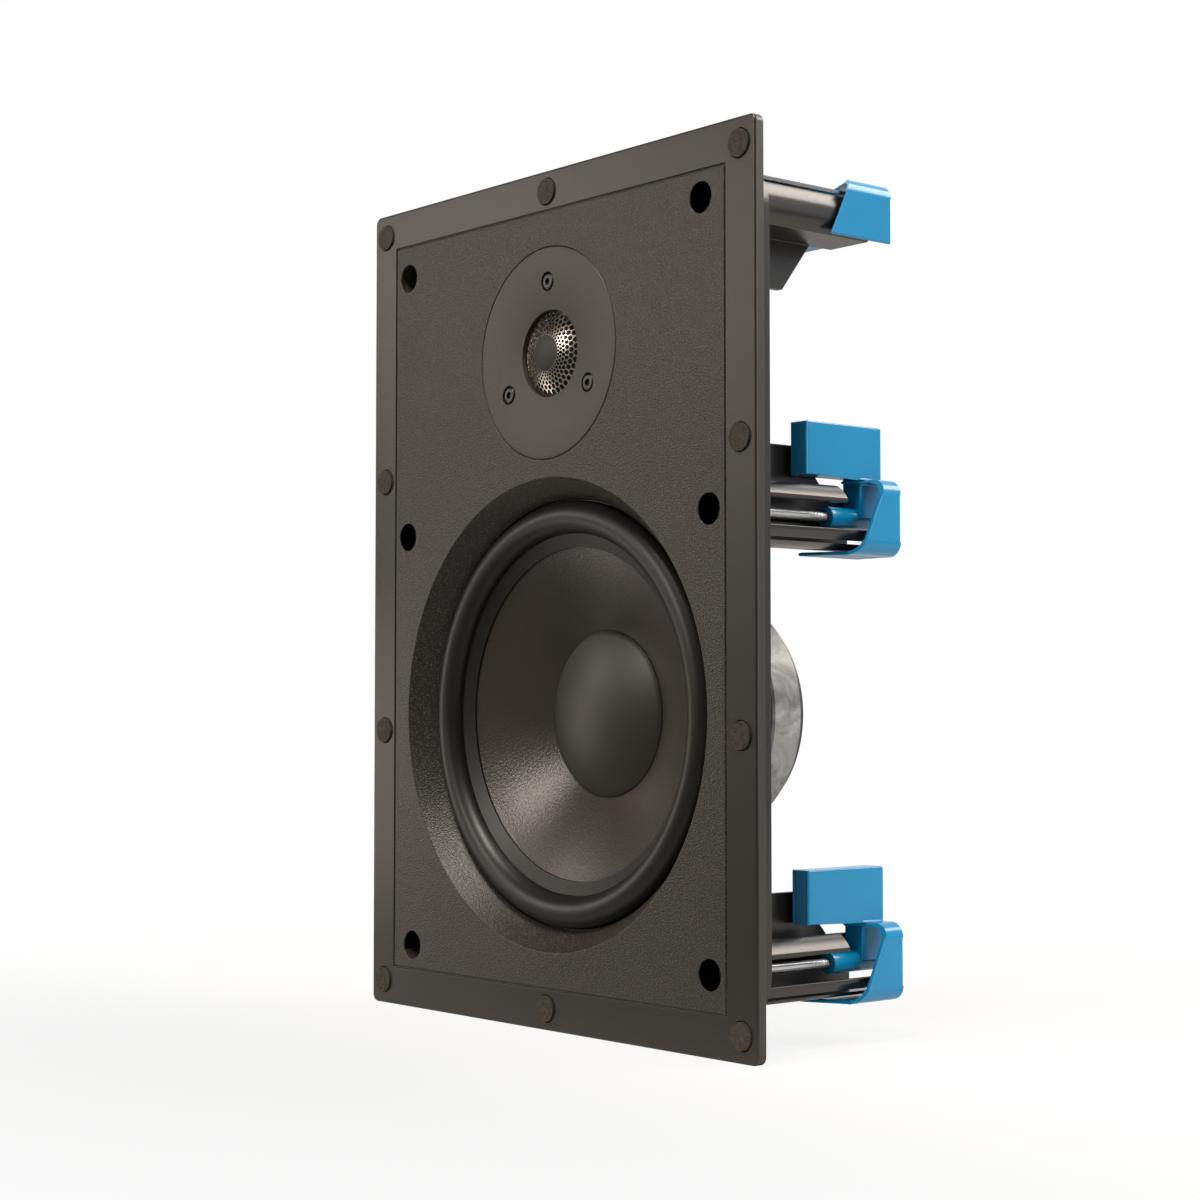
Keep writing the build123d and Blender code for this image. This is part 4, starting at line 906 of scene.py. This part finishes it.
# %% Bend the sheet into a dome and give it its thickness
SEAM = 0.005 * MM
PRESSED_SHARP_FROM = 40
pitch = add(tree, MATH, 2 * pi, given["holes per ring"], operation="DIVIDE")
angle = add(tree, MATH, spot["X"], pitch, operation="MULTIPLY")
growth = add(tree, MATH, given["ring growth"], spot["Y"], operation="POWER")
outer_radius = add(tree, MATH, given["solid radius"], growth, operation="MULTIPLY")
from_centre = add(tree, MATH, spot["Y"], 1.0, operation="ADD")
inner_radius = add(tree, MATH, given["solid radius"], from_centre, operation="MULTIPLY")
inside = add(tree, "FunctionNodeCompare", {"A": spot["Y"], "B": 0.0}, data_type="FLOAT",
             operation="LESS_THAN")
radius = add(tree, "GeometryNodeSwitch", {"Switch": inside, "False": outer_radius,
                                          "True": inner_radius}, input_type="FLOAT")
cosine = add(tree, MATH, angle, operation="COSINE")
sine = add(tree, MATH, angle, operation="SINE")
across = add(tree, MATH, radius, cosine, operation="MULTIPLY")
up = add(tree, MATH, radius, sine, given["centre z"], operation="MULTIPLY_ADD")
dome_square = add(tree, MATH, given["dome radius"], given["dome radius"], operation="MULTIPLY")
radius_square = add(tree, MATH, radius, radius, operation="MULTIPLY")
chord_square = add(tree, MATH, dome_square, radius_square, operation="SUBTRACT")
chord = add(tree, MATH, chord_square, operation="SQRT")
fall = add(tree, MATH, given["dome radius"], chord, operation="SUBTRACT")
depth = add(tree, MATH, given["front y"], fall, operation="ADD")
bent = add(tree, SET_POSITION, {"Geometry": unrolled,
                                "Position": add(tree, TO_XYZ, across, depth, up)})
sewn = add(tree, "GeometryNodeMergeByDistance", {"Geometry": bent, "Distance": SEAM})
thick = add(tree, "GeometryNodeExtrudeMesh", {"Mesh": sewn, "Individual": False,
                                              "Offset Scale": given["sheet thickness"]},
            mode="FACES")
other_side = add(tree, "GeometryNodeFlipFaces", {"Mesh": sewn})
both = add(tree, JOIN, [thick, other_side])
closed = add(tree, "GeometryNodeMergeByDistance", {"Geometry": both, "Distance": SEAM})
finish_tree(tree, result, closed, "grille_steel")
dome_mesh = grown("perforated_dome", tree)
settle("perforated_dome", shaded(dome_mesh, PRESSED_SHARP_FROM), "tweeter_grille")

# %% [markdown]
# ## Felt pads
#
# Ten discs punched from pressed felt sit in shallow seats on the flange and keep the grille from
# rattling. One disc is drawn and set out on the ten places, taken from the CAD pads, each with its
# own turn. Noise then ruffles the discs, so no two look alike.

# %% Felt pads by Geometry Nodes
PAD_RUFFLE = 0.30 * MM
TUFT_MM = 0.8
MID_NOISE = (0.5, 0.5, 0.5)
PAD_SEED = 7
pad_names = family("grille_pad_")
pad_front, pad_rear = (corner.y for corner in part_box(pad_names[0]))
pad_centres = bpy.data.meshes.new("pad_centres")
pad_centres.from_pydata([middle(node) for node in pad_names], [], [])
tree, given, result = new_tree("felt_pads", ruffle=PAD_RUFFLE, seed=PAD_SEED,
                               pad_radius=half_width(pad_names[0]) - PAD_RUFFLE / 2,
                               pad_thickness=pad_rear - pad_front - PAD_RUFFLE / 2)
disc = add(tree, "GeometryNodeMeshCylinder", {"Vertices": 64, "Side Segments": 3,
                                              "Fill Segments": 12, "Radius": given["pad radius"],
                                              "Depth": given["pad thickness"]})
facing_front = add(tree, TRANSFORM, {"Geometry": disc, "Rotation": (radians(90), 0, 0)})
turn = add(tree, "FunctionNodeRandomValue", {"Seed": given["seed"]}, data_type="FLOAT")
spin = add(tree, TO_XYZ, 0.0, add(tree, MATH, turn, 2 * pi, operation="MULTIPLY"))
pads = add(tree, INSTANCES, {"Points": given["Geometry"], "Instance": facing_front,
                             "Rotation": spin})
loose = add(tree, REALIZE, pads)
tufts = add(tree, NOISE, {"Scale": 1 / (TUFT_MM * MM), "Detail": 3.0}, noise_dimensions="3D")
centred = add(tree, VECTOR_MATH, tufts.outputs["Color"], MID_NOISE, operation="SUBTRACT")
push = add(tree, VECTOR_MATH, {0: centred, "Scale": given["ruffle"]}, operation="SCALE")
ruffled = add(tree, SET_POSITION, {"Geometry": loose, "Offset": push})
finish_tree(tree, result, ruffled, "pad_felt")
pad_mesh = grown("felt_pads", tree, pad_centres)
settle("felt_pads", shaded(pad_mesh, PRESSED_SHARP_FROM), *pad_names)

# %% [markdown]
# ## Threads of the clamp screws
#
# Each clamp screw is a long machine screw with a rolled thread, and its dog climbs along it. A copy
# of the CAD screw gets a thinner core, and a triangular section swept along a spiral adds the
# thread, whose crests stay on the CAD screw's own radius.

# %% Thread by Geometry Nodes
THREAD_PITCH = 1.6 * MM
THREAD_HEIGHT = 0.36 * MM
THREAD_FROM_Y = 12.0 * MM
tree, given, result = new_tree("rolled_thread", core_radius=1.6 * MM, pitch=THREAD_PITCH,
                               thread_height=THREAD_HEIGHT, thread_length=50.0 * MM,
                               screw_x=0.0, screw_z=0.0, thread_from_y=THREAD_FROM_Y)
rounds = add(tree, MATH, given["thread length"], given["pitch"], operation="DIVIDE")
spiral = add(tree, "GeometryNodeCurveSpiral", {
    "Resolution": 20, "Rotations": rounds, "Start Radius": given["core radius"],
    "End Radius": given["core radius"], "Height": given["thread length"]})
upright = add(tree, "GeometryNodeSetCurveNormal", {"Curve": spiral}, mode="Z_UP")
section = add(tree, CIRCLE, {"Resolution": 3, "Radius": given["thread height"]})
thread = add(tree, SWEEP, {"Curve": upright, "Profile Curve": section, "Fill Caps": True})
start = add(tree, TO_XYZ, given["screw x"], given["thread from y"], given["screw z"])
laid = add(tree, TRANSFORM, {"Geometry": thread, "Translation": start,
                             "Rotation": (radians(-90), 0, 0)})
finish_tree(tree, result, add(tree, JOIN, [given["Geometry"], laid]), "screw_steel")

# %% Threaded clamp screws
SHANK_FROM_Y = 7.0 * MM
PLAIN_END = 1.5 * MM


def threaded(node):
    """Show a clamp screw with a thinner core and a thread."""
    at = middle(node)
    shape = welded(node)
    shank = [vert for vert in shape.verts if vert.co.y > SHANK_FROM_Y]
    crest = max(Vector((v.co.x - at.x, v.co.z - at.z)).length for v in shank)
    slim = (crest - THREAD_HEIGHT) / crest
    for vert in shank:
        vert.co.x = at.x + (vert.co.x - at.x) * slim
        vert.co.z = at.z + (vert.co.z - at.z) * slim
    mesh = grown(node + "_threaded", tree, smooth_flats(node + "_core", shape), screw_x=at.x,
                 screw_z=at.z, core_radius=crest - THREAD_HEIGHT,
                 thread_length=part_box(node)[1].y - THREAD_FROM_Y - PLAIN_END)
    return settle(node + "_threaded", mesh, node)


for node in family("clamp_screw_"):
    threaded(node)

# %% [markdown]
# ## Coil of the crossover
#
# The coil is enamelled copper wire wound in layers. Only its outer turns can be seen, so the tree
# makes a grid of layers by turns, keeps the ones on the outside, and gives each a ring of wire
# whose radius comes from its place on the grid.

# %% Grid of the coil's layers and turns, without those inside
WIRE = 1.0 * MM
COIL_BORE = 6.0 * MM
INSIDE_FROM = -0.6
coil_front, coil_rear = (corner.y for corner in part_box("inductor"))
at = middle("inductor")
layers = round((half_width("inductor") - COIL_BORE) / WIRE)
turns = round((coil_rear - coil_front) / WIRE)
tree, given, result = new_tree("wound_coil", wire=WIRE, layers=layers, turns=turns,
                               bore_radius=COIL_BORE, front_y=coil_front, centre_x=at.x,
                               centre_z=at.z)
layers_less = add(tree, MATH, given["layers"], 1.0, operation="SUBTRACT")
turns_less = add(tree, MATH, given["turns"], 1.0, operation="SUBTRACT")
places = add(tree, GRID, layers_less, turns_less, given["layers"], given["turns"])
spot = add(tree, FROM_XYZ, add(tree, "GeometryNodeInputPosition")).outputs
to_edge = []
for axis, count in (("X", "layers"), ("Y", "turns")):
    reach = add(tree, MATH, given[count], 0.5, INSIDE_FROM, operation="MULTIPLY_ADD")
    off_centre = add(tree, MATH, spot[axis], operation="ABSOLUTE")
    to_edge.append(add(tree, MATH, reach, off_centre, operation="SUBTRACT"))
nearest = add(tree, MATH, *to_edge, operation="MINIMUM")
buried = add(tree, MATH, nearest, 0.0, operation="GREATER_THAN")
outer = add(tree, "GeometryNodeDeleteGeometry", {"Geometry": places, "Selection": buried},
            domain="POINT")

# %% Wound coil by Geometry Nodes
half_layers = add(tree, MATH, given["layers"], 0.5, operation="MULTIPLY")
layer = add(tree, MATH, spot["X"], half_layers, operation="ADD")
ring_radius = add(tree, MATH, layer, given["wire"], given["bore radius"],
                  operation="MULTIPLY_ADD")
half_turns = add(tree, MATH, given["turns"], 0.5, operation="MULTIPLY")
turn = add(tree, MATH, spot["Y"], half_turns, operation="ADD")
ring_y = add(tree, MATH, turn, given["wire"], given["front y"], operation="MULTIPLY_ADD")
sizes = add(tree, "GeometryNodeStoreNamedAttribute", {"Geometry": outer, "Name": "ring_radius",
                                                      "Value": ring_radius},
            data_type="FLOAT", domain="POINT")
moved = add(tree, SET_POSITION, {
    "Geometry": sizes, "Position": add(tree, TO_XYZ, given["centre x"], ring_y,
                                       given["centre z"])})
loop = add(tree, CIRCLE, {"Resolution": 48, "Radius": 1.0})
upright = add(tree, TRANSFORM, {"Geometry": loop, "Rotation": (radians(90), 0, 0)})
ring_size = add(tree, "GeometryNodeInputNamedAttribute", {"Name": "ring_radius"},
                data_type="FLOAT")
rings = add(tree, INSTANCES, {"Points": moved, "Instance": upright, "Scale": ring_size})
even = add(tree, "GeometryNodeSetCurveRadius", {"Curve": add(tree, REALIZE, rings),
                                                "Radius": 1.0})
thickness = add(tree, MATH, given["wire"], 0.5, operation="MULTIPLY")
profile = add(tree, CIRCLE, {"Resolution": 6, "Radius": thickness})
wound = add(tree, SWEEP, {"Curve": even, "Profile Curve": profile})
finish_tree(tree, result, wound, "coil_copper")
coil_mesh = grown("wound_coil", tree)
coil_mesh.shade_smooth()
settle("wound_coil", coil_mesh, "inductor")
